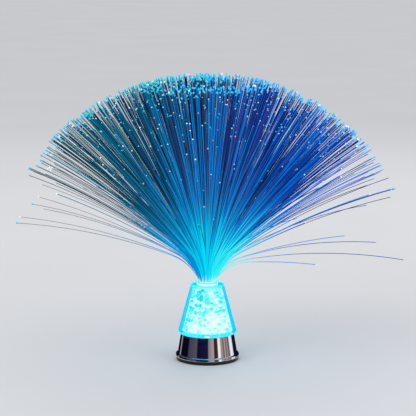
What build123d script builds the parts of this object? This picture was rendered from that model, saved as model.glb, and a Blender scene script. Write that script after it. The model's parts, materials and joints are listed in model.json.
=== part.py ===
from build123d import *
import math
import os
import random

# A battery night light whose optical fibres fan out of a clear, crystal-filled cone on a chromed base.
# Millimetres. +Z is up, and the origin is the centre of the footprint on the table. -Y is the front.
# The base is as wide as the battery box and the switch in it need, and the rest stands on it in turn:
# a non-slip ring, a cover, the shell, a clear cone of crystal chips, and a head of potted fibres
# that plugs into a collar in the top of the cone.

# Non-slip ring
RING_INSET = 0.4
RING_WIDTH = 2.6
RING_T = 1.5

# Bottom cover and its battery box
COVER_INSET = 0.6
COVER_T = 2.5
COVER_LIP_DROP = 0.4
COVER_LIP_T = 1.4
BOX_WALL = 1.6
BOX_ROOF_T = 1.2
BOX_CORNER_R = 2.4

# Base shell, plated
SHELL_WALL = 1.8
SHELL_ROOM = 1.5
BODY_TAPER = 3.5
FOOT_FLARE = 2.3
FOOT_BAND_H = 2.0
FOOT_ROUND = 0.8
DECK_T = 2.0
DECK_ROUND = 1.2

# Clear cone, its floor, the light tube and the socket collar
CONE_H = 55.5
CONE_OVERHANG = 3.4
CONE_R_TOP = 18.3
CONE_WALL = 3.2
CONE_ROOF_T = 3.0
CONE_RIM_ROUND = 1.3
CONE_TOP_ROUND = 1.6
PLATE_T = 3.7
TUBE_WALL = 1.1
COLLAR_WALL = 0.85
COLLAR_FLANGE_WIDTH = 1.1
COLLAR_FLANGE_T = 1.2
COLLAR_NECK_H = 9.0

# Crystal chips, packed in layers of rings round the light tube
CHIP_PITCH = 6.6
CHIP_GAP = 0.3
CHIP_CORNER_CUT_SHARE = 0.22
CHIP_BAND_START_SHARES = {"lower": 0.0, "middle": 0.36, "upper": 0.7}

# Fibre head: ferrule, potted rod and the free strands
FERRULE_WALL = 0.75
FERRULE_LENGTH = 22.0
FERRULE_FLANGE_WIDTH = 0.9
FERRULE_FLANGE_T = 1.2
POTTED_MARGIN = 0.24
POTTED_LENGTH = 28.0
BACKING_T = 1.0
FIBRE_LENGTH = 233.0
FIBRE_SIDE = 0.54
FIBRE_GAP = 0.25
FIBRE_RINGS = 11
FIBRES_IN_FIRST_RING = 6
ROOT_ARC_LENGTH = 46.0
START_LEAN_SHARE = 0.28
ROOT_BEND_SHARE = 0.8
CROWN_LEAN_DEG = 51.0
BROW_LEAN_DEG = (54.0, 65.0)
SKIRT_LEAN_MIN_DEG = 66.5
SKIRT_LEAN_MAX_DEG = 97.0
SKIRT_DROOP_DEG = 9.0
LEAST_LEAN_DEG = 1.5
FRONT_SQUEEZE_SHARE = 0.2
BACK_SQUEEZE_SHARE = 0.34
LEAN_JITTER_SHARE = 0.38
LENGTH_JITTER_SHARE = 0.035
SHORT_FIBRE_SHARE = 0.08
SHORT_LENGTH_SHARES = (0.5, 0.9)
FIBRE_SEED = 11

# Cells and their contacts
CELL_R = 5.25
CELL_LENGTH = 44.5
CELL_NUB_R = 1.9
CELL_NUB_H = 0.8
CELL_GAP = 0.5
CELL_COUNT = 3
CONTACT_T = 0.4
CONTACT_HEIGHT = 8.0
CONTACT_TAB_WIDTH = 3.0
CONTACT_TAB_RISE = 0.4
SPRING_ROOM = 3.2
SPRING_WIRE_R = 0.28
SPRING_R = 2.6
SPRING_TURNS = 2

# Battery door, hinged at -X and held by one captive screw at +X
DOOR_T = 1.5
DOOR_LEDGE = 1.2
DOOR_PIN_R = 0.45
DOOR_PIN_LENGTH = 1.2
DOOR_TONGUE_LENGTH = 5.2
DOOR_TONGUE_WIDTH = 7.0
DOOR_SCREW_INSET = 2.7
DOOR_SCREW_LENGTH = 5.4
DOOR_BOSS_WALL = 0.85
DOOR_BOSS_RISE = 1.4

# Push button and its switch
BUTTON_R = 3.6
BUTTON_PROUD = 0.9
BUTTON_FLANGE_WIDTH = 0.7
BUTTON_FLANGE_T = 0.8
BUTTON_STEM_R = 1.4
BUTTON_STEM_H = 3.4
BUTTON_TRAVEL = 1.0
SWITCH_SIDE = 8.5
SWITCH_H = 6.0
SWITCH_MARGIN = 0.4
CAGE_WALL = 0.9
CAGE_LIP_H = 2.0

# Light board and what is soldered to it
BOARD_ROOM = 4.1
BOARD_T = 1.6
LED_R = 2.5
LED_FLANGE_WIDTH = 0.4
LED_FLANGE_T = 1.0
LED_HEIGHT = 8.6
LED_ROOM = 0.5
LED_LEG_R = 0.25
LED_LEG_SPACING = 2.54
LED_LEG_PROUD = 1.0
LED_SPACING = 2.2
LED_RING_COUNT = 3
REFLECTOR_WALL = 0.9
REFLECTOR_FLOOR_T = 1.0
REFLECTOR_MARGIN = 1.0
CHIP_IC_SIZE = (5.0, 4.0, 1.6)
RESISTOR_SIZE = (3.2, 1.6, 0.6)
RESISTOR_AZIMUTHS_DEG = (60, 90, 270, 300)
CAPACITOR_R = 2.4
CAPACITOR_H = 5.4
BOARD_PART_MARGIN = 1.6

# Screws and the bosses they drive into
SCREW_R = 1.15
SCREW_HEAD_R = 2.3
SCREW_HEAD_T = 1.1
SCREW_SLOT_WIDTH = 0.6
SCREW_SLOT_DEPTH = 0.5
SCREW_WELL_DEPTH = 1.2
BOSS_WALL = 1.8
BOSS_STANDOFF = 0.3
COVER_SCREW_LENGTH = 9.0
POST_WALL = 1.2
BOARD_EDGE = 0.4
BOARD_POST_AZIMUTHS_DEG = (0, 120, 240)
BOARD_SCREW_LENGTH = 6.0
PLATE_SCREW_MARGIN = 1.7
PLATE_SCREW_AZIMUTHS_DEG = (90, 210, 330)
PLATE_SCREW_BITE = 2.4

# Leads between contacts, switch and board
LEAD_R = 0.4
LEAD_BEND_R = 1.5
LEAD_TAIL = 0.2
RED_LEAD_X = 15.0
SWITCH_LEAD_X = 2.2
SWITCH_LEAD_LANDING = (4.0, 15.0)
BLACK_LEAD_TURNS = ((-12.0, 13.5), (-3.0, 19.0))

# Clearances
SLIP = 0.1
RUNNING = 0.05
LOOSE = 0.2
DOOR_GAP = 0.15
CELL_CLEARANCE = 0.3
SCREW_CLEARANCE = 0.05
CAPTIVE_CLEARANCE = 0.5
OVERRUN = 1.0

# Plan sizes that follow from the cells and the switch, and the base round them
CELL_PITCH = 2 * CELL_R + CELL_GAP
BOX_HALF_X = (CELL_LENGTH + SPRING_ROOM + 2 * CONTACT_T) / 2
BOX_HALF_Y = CELL_PITCH * CELL_COUNT / 2
BOX_OUT_X = BOX_HALF_X + BOX_WALL
BOX_OUT_Y = BOX_HALF_Y + BOX_WALL
BOX_OUT_R = BOX_CORNER_R + BOX_WALL
BOX_REACH = math.hypot(BOX_OUT_X - BOX_OUT_R, BOX_OUT_Y - BOX_OUT_R) + BOX_OUT_R
BUTTON_FLANGE_R = BUTTON_R + BUTTON_FLANGE_WIDTH
CAGE_HALF = max(SWITCH_SIDE / 2 + SLIP, BUTTON_FLANGE_R + LOOSE) + CAGE_WALL
SWITCH_Y = BOX_OUT_Y + SWITCH_MARGIN + CAGE_HALF
SWITCH_REACH = math.hypot(CAGE_HALF, SWITCH_Y + CAGE_HALF)
BODY_R_LOW = max(BOX_REACH, SWITCH_REACH) + SHELL_ROOM + SHELL_WALL
BODY_R_TOP = BODY_R_LOW - BODY_TAPER
FOOT_R = BODY_R_LOW + FOOT_FLARE
COVER_R = FOOT_R - COVER_INSET
RING_R_OUT = COVER_R - RING_INSET
RING_R_IN = RING_R_OUT - RING_WIDTH
CONE_R_LOW = BODY_R_TOP + CONE_OVERHANG
PLATE_R = CONE_R_LOW - CONE_WALL - SLIP
CONTACT_WIDTH = 2 * (CELL_R - BOX_CORNER_R)

# Battery door
DOOR_HALF_X = BOX_HALF_X + DOOR_LEDGE
DOOR_HALF_Y = BOX_HALF_Y + DOOR_LEDGE
DOOR_AXIS_X = -(DOOR_HALF_X - DOOR_T / 2)
DOOR_SCREW_X = DOOR_HALF_X + DOOR_TONGUE_LENGTH - DOOR_SCREW_INSET
DOOR_BOSS_R = SCREW_R + CAPTIVE_CLEARANCE + DOOR_BOSS_WALL

# Fibre head and what it plugs into
FIBRE_PITCH = FIBRE_SIDE + FIBRE_GAP
POTTED_R = FIBRE_RINGS * FIBRE_PITCH + FIBRE_SIDE / 2 + POTTED_MARGIN
FERRULE_R_IN = POTTED_R + RUNNING
FERRULE_R = FERRULE_R_IN + FERRULE_WALL
FERRULE_FLANGE_R = FERRULE_R + FERRULE_FLANGE_WIDTH
COLLAR_R_IN = FERRULE_R + RUNNING
COLLAR_R = COLLAR_R_IN + COLLAR_WALL
COLLAR_FLANGE_R = COLLAR_R + COLLAR_FLANGE_WIDTH
SOCKET_R = COLLAR_R + SLIP

# Lamps, board and screw places
LED_FLANGE_R = LED_R + LED_FLANGE_WIDTH
LED_RING_R = 2 * LED_FLANGE_R + LED_SPACING
REFLECTOR_R = LED_RING_R + LED_FLANGE_R + REFLECTOR_MARGIN + REFLECTOR_WALL
DECK_HOLE_R = REFLECTOR_R + LOOSE
CAPACITOR_ORBIT_R = REFLECTOR_R + BOARD_PART_MARGIN + CAPACITOR_R
RESISTOR_ORBIT_R = REFLECTOR_R + BOARD_PART_MARGIN + RESISTOR_SIZE[0] / 2
BOSS_R = SCREW_R + SCREW_CLEARANCE + BOSS_WALL
BOSS_ORBIT_R = BODY_R_TOP - SHELL_WALL - BOSS_STANDOFF - BOSS_R
BOSS_Y = BOX_OUT_Y + LOOSE + BOSS_R
BOSS_X = math.sqrt(BOSS_ORBIT_R**2 - BOSS_Y**2)
BOARD_R = BOSS_ORBIT_R - BOSS_R - LOOSE
BOARD_POST_R = SCREW_R + SCREW_CLEARANCE + POST_WALL
BOARD_POST_ORBIT_R = BOARD_R - BOARD_EDGE - BOARD_POST_R
PLATE_SCREW_ORBIT_R = BODY_R_TOP - SHELL_WALL - PLATE_SCREW_MARGIN - SCREW_HEAD_R

# Levels, from the table up
Z_COVER = RING_T
Z_SHELL = Z_COVER + COVER_T
Z_DOOR_TOP = Z_COVER + DOOR_T
DOOR_AXIS_Z = Z_COVER + DOOR_T / 2
Z_CELL = Z_DOOR_TOP + CELL_CLEARANCE + CELL_R
Z_BOX_INSIDE = Z_CELL + CELL_R + CELL_CLEARANCE
Z_BOX_TOP = Z_BOX_INSIDE + BOX_ROOF_T
Z_TAB_TOP = Z_BOX_TOP + CONTACT_TAB_RISE
Z_LEADS = Z_TAB_TOP + LEAD_TAIL + LEAD_BEND_R
Z_BOARD = Z_TAB_TOP + BOARD_ROOM
Z_BOARD_TOP = Z_BOARD + BOARD_T
Z_LED_TOP = Z_BOARD_TOP + LED_HEIGHT
Z_DECK = Z_LED_TOP + LED_ROOM
Z_PLATE_TOP = Z_DECK + PLATE_T
Z_CONE_TOP = Z_DECK + CONE_H
Z_ROOF = Z_CONE_TOP - CONE_ROOF_T
Z_COLLAR_TOP = Z_CONE_TOP + COLLAR_FLANGE_T
Z_MOUTH = Z_COLLAR_TOP + FERRULE_FLANGE_T
Z_BUTTON_FLANGE = Z_SHELL + BUTTON_FLANGE_T
Z_STEM_TOP = Z_BUTTON_FLANGE + BUTTON_STEM_H
Z_SWITCH = Z_BUTTON_FLANGE + BUTTON_TRAVEL + LOOSE
Z_SWITCH_TOP = Z_SWITCH + SWITCH_H
Z_DOOR_SCREW_TIP = Z_COVER + SCREW_HEAD_T + DOOR_SCREW_LENGTH
UPRIGHT = (Align.CENTER, Align.CENTER, Align.MIN)


def polar(radius, azimuth_deg):
    """The plan point at this radius and azimuth."""
    turn = math.radians(azimuth_deg)
    return (radius * math.cos(turn), radius * math.sin(turn))


def rod(radius, z_low, z_high, at=(0, 0)):
    """An upright cylinder between two levels."""
    return Pos(at[0], at[1], z_low) * Cylinder(radius, z_high - z_low, align=UPRIGHT)


def tube(r_out, r_in, z_low, z_high, at=(0, 0)):
    """An upright tube between two levels."""
    return rod(r_out, z_low, z_high, at) - rod(r_in, z_low - OVERRUN, z_high + OVERRUN, at)


def block(size_x, size_y, z_low, z_high, at=(0, 0)):
    """A box on two levels, centred in plan on a point."""
    return Pos(at[0], at[1], z_low) * Box(size_x, size_y, z_high - z_low, align=UPRIGHT)


def rounded_block(half_x, half_y, corner, z_low, z_high):
    """A box on two levels with rounded upright edges, centred on the axis."""
    outline = RectangleRounded(2 * half_x, 2 * half_y, corner)
    return extrude(Pos(0, 0, z_low) * outline, z_high - z_low)


def corner_arc(start, centre, end):
    """The short arc from start to end about a centre, in the profile plane."""
    middle_x = (start[0] + end[0]) / 2 - centre[0]
    middle_z = (start[1] + end[1]) / 2 - centre[1]
    radius = math.dist(start, centre)
    reach = radius / math.hypot(middle_x, middle_z)
    top = (centre[0] + middle_x * reach, centre[1] + middle_z * reach)
    return ThreePointArc(start, top, end)


def turned(edges):
    """A solid of revolution about Z from a closed chain of edges drawn as (radius, level)."""
    return revolve(Plane.XZ * make_face(edges), axis=Axis.Z)


def screw(z_seat, length, at, up=True):
    """A pan-headed screw whose head seats at a level. It points up, or down, from there."""
    shank = rod(SCREW_R, 0, length)
    head = rod(SCREW_HEAD_R, -SCREW_HEAD_T, 0)
    slot = block(2 * SCREW_HEAD_R, SCREW_SLOT_WIDTH, -SCREW_HEAD_T, SCREW_SLOT_DEPTH - SCREW_HEAD_T)
    made = shank + head - slot
    turn = Rot(0, 0, 0) if up else Rot(180, 0, 0)
    return Pos(at[0], at[1], z_seat) * turn * made


def drilled(z_low, z_high, at, clearance=SCREW_CLEARANCE):
    """The hole that a screw's shank takes up between two levels."""
    return rod(SCREW_R + clearance, z_low, z_high, at)


def boss_places():
    """The base shell's four bosses, outside the long walls of the battery box."""
    return [(side_x * BOSS_X, side_y * BOSS_Y) for side_x in (-1, 1) for side_y in (-1, 1)]


def non_slip_ring():
    return tube(RING_R_OUT, RING_R_IN, 0, RING_T)


def door_panel(grow, z_high):
    """The door's plan shape, or with grow the pocket that it drops into."""
    panel = block(2 * (DOOR_HALF_X + grow), 2 * (DOOR_HALF_Y + grow), Z_COVER, z_high)
    corners = panel.edges().filter_by(Axis.Z).group_by(Axis.X)[-1]
    panel = fillet(corners, BOX_CORNER_R)
    tongue_x = DOOR_HALF_X + (DOOR_TONGUE_LENGTH - BOX_CORNER_R) / 2
    tongue = block(
        DOOR_TONGUE_LENGTH + BOX_CORNER_R + 2 * grow,
        DOOR_TONGUE_WIDTH + 2 * grow,
        Z_COVER,
        z_high,
        (tongue_x, 0),
    )
    return panel + tongue


def bottom_cover():
    """Plate, centring lip, battery box, switch cage and the bores of the door's pins."""
    lip_r = FOOT_R - SHELL_WALL - SLIP
    made = rod(COVER_R, Z_COVER, Z_SHELL)
    z_boss = Z_DOOR_SCREW_TIP + DOOR_BOSS_RISE
    made += tube(lip_r, lip_r - COVER_LIP_T, Z_SHELL, Z_SHELL + FOOT_BAND_H - COVER_LIP_DROP)
    made += rounded_block(BOX_OUT_X, BOX_OUT_Y, BOX_OUT_R, Z_SHELL, Z_BOX_TOP)
    made += rod(DOOR_BOSS_R, Z_SHELL, z_boss, (DOOR_SCREW_X, 0))
    made += block(
        2 * CAGE_HALF, 2 * CAGE_HALF, Z_SHELL, Z_SWITCH + CAGE_LIP_H, (0, SWITCH_Y)
    )
    made -= block(
        SWITCH_SIDE + 2 * SLIP,
        SWITCH_SIDE + 2 * SLIP,
        Z_SWITCH,
        Z_SWITCH + CAGE_LIP_H + OVERRUN,
        (0, SWITCH_Y),
    )
    made -= rod(BUTTON_FLANGE_R + LOOSE, Z_SHELL, Z_SWITCH, (0, SWITCH_Y))
    made -= rod(BUTTON_R + LOOSE, Z_COVER - OVERRUN, Z_SHELL, (0, SWITCH_Y))
    made -= rounded_block(
        BOX_HALF_X, BOX_HALF_Y, BOX_CORNER_R, Z_COVER - OVERRUN, Z_BOX_INSIDE
    )
    made -= door_panel(DOOR_GAP, Z_DOOR_TOP + RUNNING)
    made -= drilled(Z_COVER, z_boss + OVERRUN, (DOOR_SCREW_X, 0), CAPTIVE_CLEARANCE)
    bore_half = DOOR_HALF_Y + DOOR_PIN_LENGTH + LOOSE
    bore = Cylinder(DOOR_PIN_R + RUNNING, 2 * bore_half, rotation=(90, 0, 0))
    made -= Pos(DOOR_AXIS_X, 0, DOOR_AXIS_Z) * bore
    for at in boss_places():
        made -= rod(SCREW_HEAD_R + LOOSE, Z_COVER - OVERRUN, Z_COVER + SCREW_WELL_DEPTH, at)
        made -= drilled(Z_COVER, Z_SHELL + OVERRUN, at)
    for tab in (red_tab_plan(), black_tab_plan()):
        made -= block(
            CONTACT_T + SLIP, CONTACT_TAB_WIDTH + SLIP, Z_BOX_INSIDE, Z_BOX_TOP + OVERRUN, tab
        )
    return made


def cover_screws():
    """Four screws up through the cover into the base shell's bosses."""
    seat = Z_COVER + SCREW_WELL_DEPTH
    return Compound([screw(seat, COVER_SCREW_LENGTH, at) for at in boss_places()])


def base_shell():
    """Plated cup, open below: rounded foot, hollow flare, tapering body and deck."""
    flare = FOOT_R - FOOT_ROUND - BODY_R_LOW
    z_band = Z_SHELL + FOOT_BAND_H
    z_round = z_band + FOOT_ROUND
    z_flare = z_round + flare
    z_under = Z_DECK - DECK_T
    band = (FOOT_R, z_band)
    brow = (FOOT_R - FOOT_ROUND, z_round)
    waist = (BODY_R_LOW, z_flare)
    shoulder = (BODY_R_TOP, Z_DECK - DECK_ROUND)
    deck = (BODY_R_TOP - DECK_ROUND, Z_DECK)
    inner = [
        deck,
        (DECK_HOLE_R, Z_DECK),
        (DECK_HOLE_R, z_under),
        (BODY_R_TOP - SHELL_WALL, z_under),
        (BODY_R_LOW - SHELL_WALL, z_flare),
        (FOOT_R - SHELL_WALL, z_band),
        (FOOT_R - SHELL_WALL, Z_SHELL),
        (FOOT_R, Z_SHELL),
        band,
    ]
    made = turned(
        [
            corner_arc(band, (FOOT_R - FOOT_ROUND, z_band), brow),
            corner_arc(brow, (FOOT_R - FOOT_ROUND, z_flare), waist),
            Line(waist, shoulder),
            corner_arc(shoulder, (BODY_R_TOP - DECK_ROUND, Z_DECK - DECK_ROUND), deck),
            *[Line(a, b) for a, b in zip(inner, inner[1:])],
        ]
    )
    for at in boss_places():
        made += rod(BOSS_R, Z_SHELL, z_under, at)
        made -= drilled(Z_SHELL - OVERRUN, Z_SHELL + COVER_SCREW_LENGTH + OVERRUN, at)
    for azimuth in BOARD_POST_AZIMUTHS_DEG:
        at = polar(BOARD_POST_ORBIT_R, azimuth)
        made += rod(BOARD_POST_R, Z_BOARD_TOP, z_under, at)
        made -= drilled(Z_BOARD_TOP - OVERRUN, Z_BOARD_TOP + BOARD_SCREW_LENGTH, at)
    for azimuth in PLATE_SCREW_AZIMUTHS_DEG:
        made -= drilled(z_under - OVERRUN, Z_DECK + OVERRUN, polar(PLATE_SCREW_ORBIT_R, azimuth))
    return made


def cone_base_plate():
    """Clear floor of the cone, screwed to the deck from below."""
    made = rod(PLATE_R, Z_DECK, Z_PLATE_TOP)
    for azimuth in PLATE_SCREW_AZIMUTHS_DEG:
        at = polar(PLATE_SCREW_ORBIT_R, azimuth)
        made -= drilled(Z_DECK - OVERRUN, Z_DECK + PLATE_SCREW_BITE + LOOSE, at)
    return made


def plate_screws():
    """Three screws up through the deck into the cone's floor."""
    seat = Z_DECK - DECK_T
    places = [polar(PLATE_SCREW_ORBIT_R, azimuth) for azimuth in PLATE_SCREW_AZIMUTHS_DEG]
    return Compound([screw(seat, DECK_T + PLATE_SCREW_BITE, at) for at in places])


def cone_outside_r(level):
    """The clear cone's outer radius at a level."""
    share = (level - Z_DECK) / CONE_H
    return CONE_R_LOW + (CONE_R_TOP - CONE_R_LOW) * share


def cone_inside_r(level):
    """The clear cone's inner radius at a level above its floor plate."""
    return cone_outside_r(level) - CONE_WALL


def crystal_cone():
    """Thick clear shell, open below for its floor plate and above for the collar."""
    mouth_r = PLATE_R + SLIP
    rim = (CONE_R_LOW, Z_DECK)
    brow = (CONE_R_TOP, Z_CONE_TOP)
    outline = [
        rim,
        brow,
        (SOCKET_R, Z_CONE_TOP),
        (SOCKET_R, Z_ROOF),
        (cone_inside_r(Z_ROOF), Z_ROOF),
        (cone_inside_r(Z_PLATE_TOP), Z_PLATE_TOP),
        (mouth_r, Z_PLATE_TOP),
        (mouth_r, Z_DECK),
        rim,
    ]
    face = make_face([Line(a, b) for a, b in zip(outline, outline[1:])])
    for corner, radius in ((rim, CONE_RIM_ROUND), (brow, CONE_TOP_ROUND)):
        face = fillet(face.vertices().sort_by_distance(corner)[0], radius)
    return revolve(Plane.XZ * face, axis=Axis.Z)


def light_tube():
    """Clear tube that keeps the chips off the potted rod, from floor plate to roof."""
    return tube(SOCKET_R + TUBE_WALL, SOCKET_R, Z_PLATE_TOP, Z_ROOF)


def socket_collar():
    """Clear ring in the cone's roof that the fibre head plugs into."""
    flange = tube(COLLAR_FLANGE_R, COLLAR_R_IN, Z_CONE_TOP, Z_COLLAR_TOP)
    return flange + tube(COLLAR_R, COLLAR_R_IN, Z_CONE_TOP - COLLAR_NECK_H, Z_CONE_TOP)


def chip(r_low, r_high, turn_low, turn_high, z_low, z_high, chance):
    """One broken crystal: the hull of points strewn near the corners of its cell."""
    points = []
    for i in range(8):
        near_r, near_turn, near_z = i & 1, i >> 1 & 1, i >> 2
        cut = [chance.uniform(0, CHIP_CORNER_CUT_SHARE) for _ in range(3)]
        share_r = abs(near_r - cut[0])
        share_turn = abs(near_turn - cut[1])
        share_z = abs(near_z - cut[2])
        radius = r_low + (r_high - r_low) * share_r
        turn = turn_low + (turn_high - turn_low) * share_turn
        level = z_low + (z_high - z_low) * share_z
        points.append((radius * math.cos(turn), radius * math.sin(turn), level))
    return ConvexPolyhedron(points)


def crystal_chips(band):
    """The chips of one band of the cone's height, each in its own cell of rings and layers."""
    band_shares = [*CHIP_BAND_START_SHARES.values(), 1]
    chance = random.Random(band)
    room = Z_ROOF - Z_PLATE_TOP
    layers = round(room / CHIP_PITCH)
    layer_h = room / layers
    made = []
    for layer in range(layers):
        if not band_shares[band] <= layer / layers < band_shares[band + 1]:
            continue
        z_low = Z_PLATE_TOP + layer * layer_h + CHIP_GAP / 2
        z_high = z_low + layer_h - CHIP_GAP
        r_first = SOCKET_R + TUBE_WALL + CHIP_GAP / 2
        r_last = cone_inside_r(z_high) - CHIP_GAP / 2
        rings = max(1, round((r_last - r_first) / CHIP_PITCH))
        ring_w = (r_last - r_first) / rings
        for ring in range(rings):
            r_low = r_first + ring * ring_w + CHIP_GAP / 2
            r_high = r_low + ring_w - CHIP_GAP
            count = round(math.pi * (r_low + r_high) / CHIP_PITCH)
            step = 2 * math.pi / count
            start = chance.uniform(0, step)
            half_gap = CHIP_GAP / 2 / r_low
            for i in range(count):
                low = start + i * step + half_gap
                high = low + step - 2 * half_gap
                made.append(chip(r_low, r_high, low, high, z_low, z_high, chance))
    return Compound(made)


def bundle_ferrule():
    """Flanged sleeve round the potted rod, a sliding fit in the collar."""
    sleeve = tube(FERRULE_R, FERRULE_R_IN, Z_MOUTH - FERRULE_LENGTH, Z_MOUTH)
    return sleeve + tube(FERRULE_FLANGE_R, FERRULE_R_IN, Z_COLLAR_TOP, Z_MOUTH)


def potted_bundle():
    """The fibres' ends set in resin and ground flat, below the slice that carries the strands."""
    return rod(POTTED_R, Z_MOUTH - POTTED_LENGTH, Z_MOUTH - BACKING_T)


def fibre_lean(ring, azimuth, chance):
    """How far a strand's tip leans from upright, in degrees. An outer ring always leans further."""
    draw = chance.uniform(-1, 1)
    if ring < FIBRE_RINGS - 1:
        lean = CROWN_LEAN_DEG * (ring + draw * LEAN_JITTER_SHARE) / (FIBRE_RINGS - 2)
    elif ring < FIBRE_RINGS:
        lean = BROW_LEAN_DEG[0] + (BROW_LEAN_DEG[1] - BROW_LEAN_DEG[0]) * abs(draw)
    else:
        most = SKIRT_LEAN_MAX_DEG + SKIRT_DROOP_DEG * math.cos(azimuth)
        lean = SKIRT_LEAN_MIN_DEG + (most - SKIRT_LEAN_MIN_DEG) * draw**2
    to_back = math.sin(azimuth)
    squeeze = BACK_SQUEEZE_SHARE if to_back > 0 else FRONT_SQUEEZE_SHARE
    return max(LEAST_LEAN_DEG, lean * (1 - squeeze * to_back**2))


def fibre_length(chance):
    """A strand's free length. A few have broken off short."""
    share = 1 - LENGTH_JITTER_SHARE * chance.random() ** 2
    if chance.random() < SHORT_FIBRE_SHARE:
        share = chance.uniform(*SHORT_LENGTH_SHARES)
    return FIBRE_LENGTH * share


def strand(radius, azimuth, lean_deg, length):
    """A square strand in an upright plane: it leaves the backing aslant, bends, then leans on.

    Strands of one lean follow one curve, however short they are cut, so none crosses another.
    """
    tip = math.radians(lean_deg)
    start, knee = tip * START_LEAN_SHARE, tip * ROOT_BEND_SHARE
    first_r = ROOT_ARC_LENGTH / (knee - start)
    last_r = (FIBRE_LENGTH - ROOT_ARC_LENGTH) / (tip - knee)
    end = knee + (length - ROOT_ARC_LENGTH) / last_r
    half = FIBRE_SIDE / 2
    first = (radius + first_r * math.cos(start), -first_r * math.sin(start))
    last = (
        first[0] + (last_r - first_r) * math.cos(knee),
        first[1] - (last_r - first_r) * math.sin(knee),
    )

    def on(centre, arc_r, turn):
        return (centre[0] - arc_r * math.cos(turn), centre[1] + arc_r * math.sin(turn))

    def side(offset):
        return [
            on(first, first_r + offset, start),
            on(first, first_r + offset, (start + knee) / 2),
            on(first, first_r + offset, knee),
            on(last, last_r + offset, (knee + end) / 2),
            on(last, last_r + offset, end),
        ]

    def rooted(place):
        depth = BACKING_T / 2
        return (place[0] - depth * math.sin(start), place[1] - depth * math.cos(start))

    under, over = side(-half), side(half)
    face = make_face(
        [
            ThreePointArc(*under[:3]),
            ThreePointArc(*under[2:]),
            Line(under[-1], over[-1]),
            ThreePointArc(*reversed(over[2:])),
            ThreePointArc(*reversed(over[:3])),
            Line(over[0], rooted(over[0])),
            Line(rooted(over[0]), rooted(under[0])),
            Line(rooted(under[0]), under[0]),
        ]
    )
    plane = Plane(
        origin=(0, 0, Z_MOUTH),
        x_dir=(math.cos(azimuth), math.sin(azimuth), 0),
        z_dir=(math.sin(azimuth), -math.cos(azimuth), 0),
    )
    return extrude(plane * face, half, both=True)


def fibre_spray():
    """All free strands in rings, fused to a slice of the potted rod that they grow from."""
    chance = random.Random(FIBRE_SEED)
    strands = [strand(0, 0, LEAST_LEAN_DEG, FIBRE_LENGTH)]
    for ring in range(1, FIBRE_RINGS + 1):
        count = FIBRES_IN_FIRST_RING * ring
        start = chance.uniform(0, 2 * math.pi)
        for i in range(count):
            azimuth = start + 2 * math.pi * i / count
            lean = fibre_lean(ring, azimuth, chance)
            strands.append(strand(ring * FIBRE_PITCH, azimuth, lean, fibre_length(chance)))
    print("strands", len(strands))
    backing = rod(POTTED_R, Z_MOUTH - BACKING_T, Z_MOUTH)
    return backing.fuse(Compound(strands))


def led_board():
    """Round printed board, drilled for its screws and the lamps' legs."""
    made = rod(BOARD_R, Z_BOARD, Z_BOARD_TOP)
    for azimuth in BOARD_POST_AZIMUTHS_DEG:
        at = polar(BOARD_POST_ORBIT_R, azimuth)
        made -= drilled(Z_BOARD - OVERRUN, Z_BOARD_TOP + OVERRUN, at)
    for at in [(0, 0)] + led_ring_places():
        for leg in leg_places(at):
            made -= rod(LED_LEG_R + SLIP, Z_BOARD - OVERRUN, Z_BOARD_TOP + OVERRUN, leg)
    return made


def board_screws():
    """Three screws up through the board into the base shell's posts."""
    places = [polar(BOARD_POST_ORBIT_R, azimuth) for azimuth in BOARD_POST_AZIMUTHS_DEG]
    return Compound([screw(Z_BOARD, BOARD_SCREW_LENGTH, at) for at in places])


def led_ring_places():
    """Where the lamps that light the chips stand."""
    return [polar(LED_RING_R, 360 / LED_RING_COUNT * (i + 0.5)) for i in range(LED_RING_COUNT)]


def leg_places(at):
    """The two legs of a lamp."""
    return [(at[0] + side * LED_LEG_SPACING / 2, at[1]) for side in (-1, 1)]


def led(at):
    """A domed lamp with a flange and two legs through the board."""
    made = rod(LED_R, Z_BOARD_TOP, Z_LED_TOP - LED_R, at)
    made += Pos(at[0], at[1], Z_LED_TOP - LED_R) * Sphere(LED_R)
    made += rod(LED_FLANGE_R, Z_BOARD_TOP, Z_BOARD_TOP + LED_FLANGE_T, at)
    for leg in leg_places(at):
        made += rod(LED_LEG_R, Z_BOARD - LED_LEG_PROUD, Z_BOARD_TOP, leg)
    return made


def bundle_led():
    return led((0, 0))


def crystal_leds():
    return Compound([led(at) for at in led_ring_places()])


def led_reflector():
    """White cup round the lamps, from the board up into the hole of the deck."""
    z_floor = Z_BOARD_TOP + REFLECTOR_FLOOR_T
    made = tube(REFLECTOR_R, REFLECTOR_R - REFLECTOR_WALL, Z_BOARD_TOP, Z_DECK - LOOSE)
    made += rod(REFLECTOR_R, Z_BOARD_TOP, z_floor)
    for at in [(0, 0)] + led_ring_places():
        made -= rod(LED_FLANGE_R + SLIP, Z_BOARD_TOP - OVERRUN, z_floor + OVERRUN, at)
    return made


def controller_chip():
    """Colour-change circuit on the board's underside."""
    size_x, size_y, size_z = CHIP_IC_SIZE
    return block(size_x, size_y, Z_BOARD - size_z, Z_BOARD, (LED_RING_R, 0))


def resistors():
    size_x, size_y, size_z = RESISTOR_SIZE
    places = [polar(RESISTOR_ORBIT_R, azimuth) for azimuth in RESISTOR_AZIMUTHS_DEG]
    return Compound([block(size_x, size_y, Z_BOARD_TOP, Z_BOARD_TOP + size_z, at) for at in places])


def capacitor():
    return rod(CAPACITOR_R, Z_BOARD_TOP, Z_BOARD_TOP + CAPACITOR_H, (-CAPACITOR_ORBIT_R, 0))


def cell_y(index):
    """Where a cell lies across the box."""
    return (index - (CELL_COUNT - 1) / 2) * CELL_PITCH


def cell_way(index):
    """+1 where a cell's nub points to +X, else -1. Neighbours lie head to tail."""
    return 1 if index % 2 == 0 else -1


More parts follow.
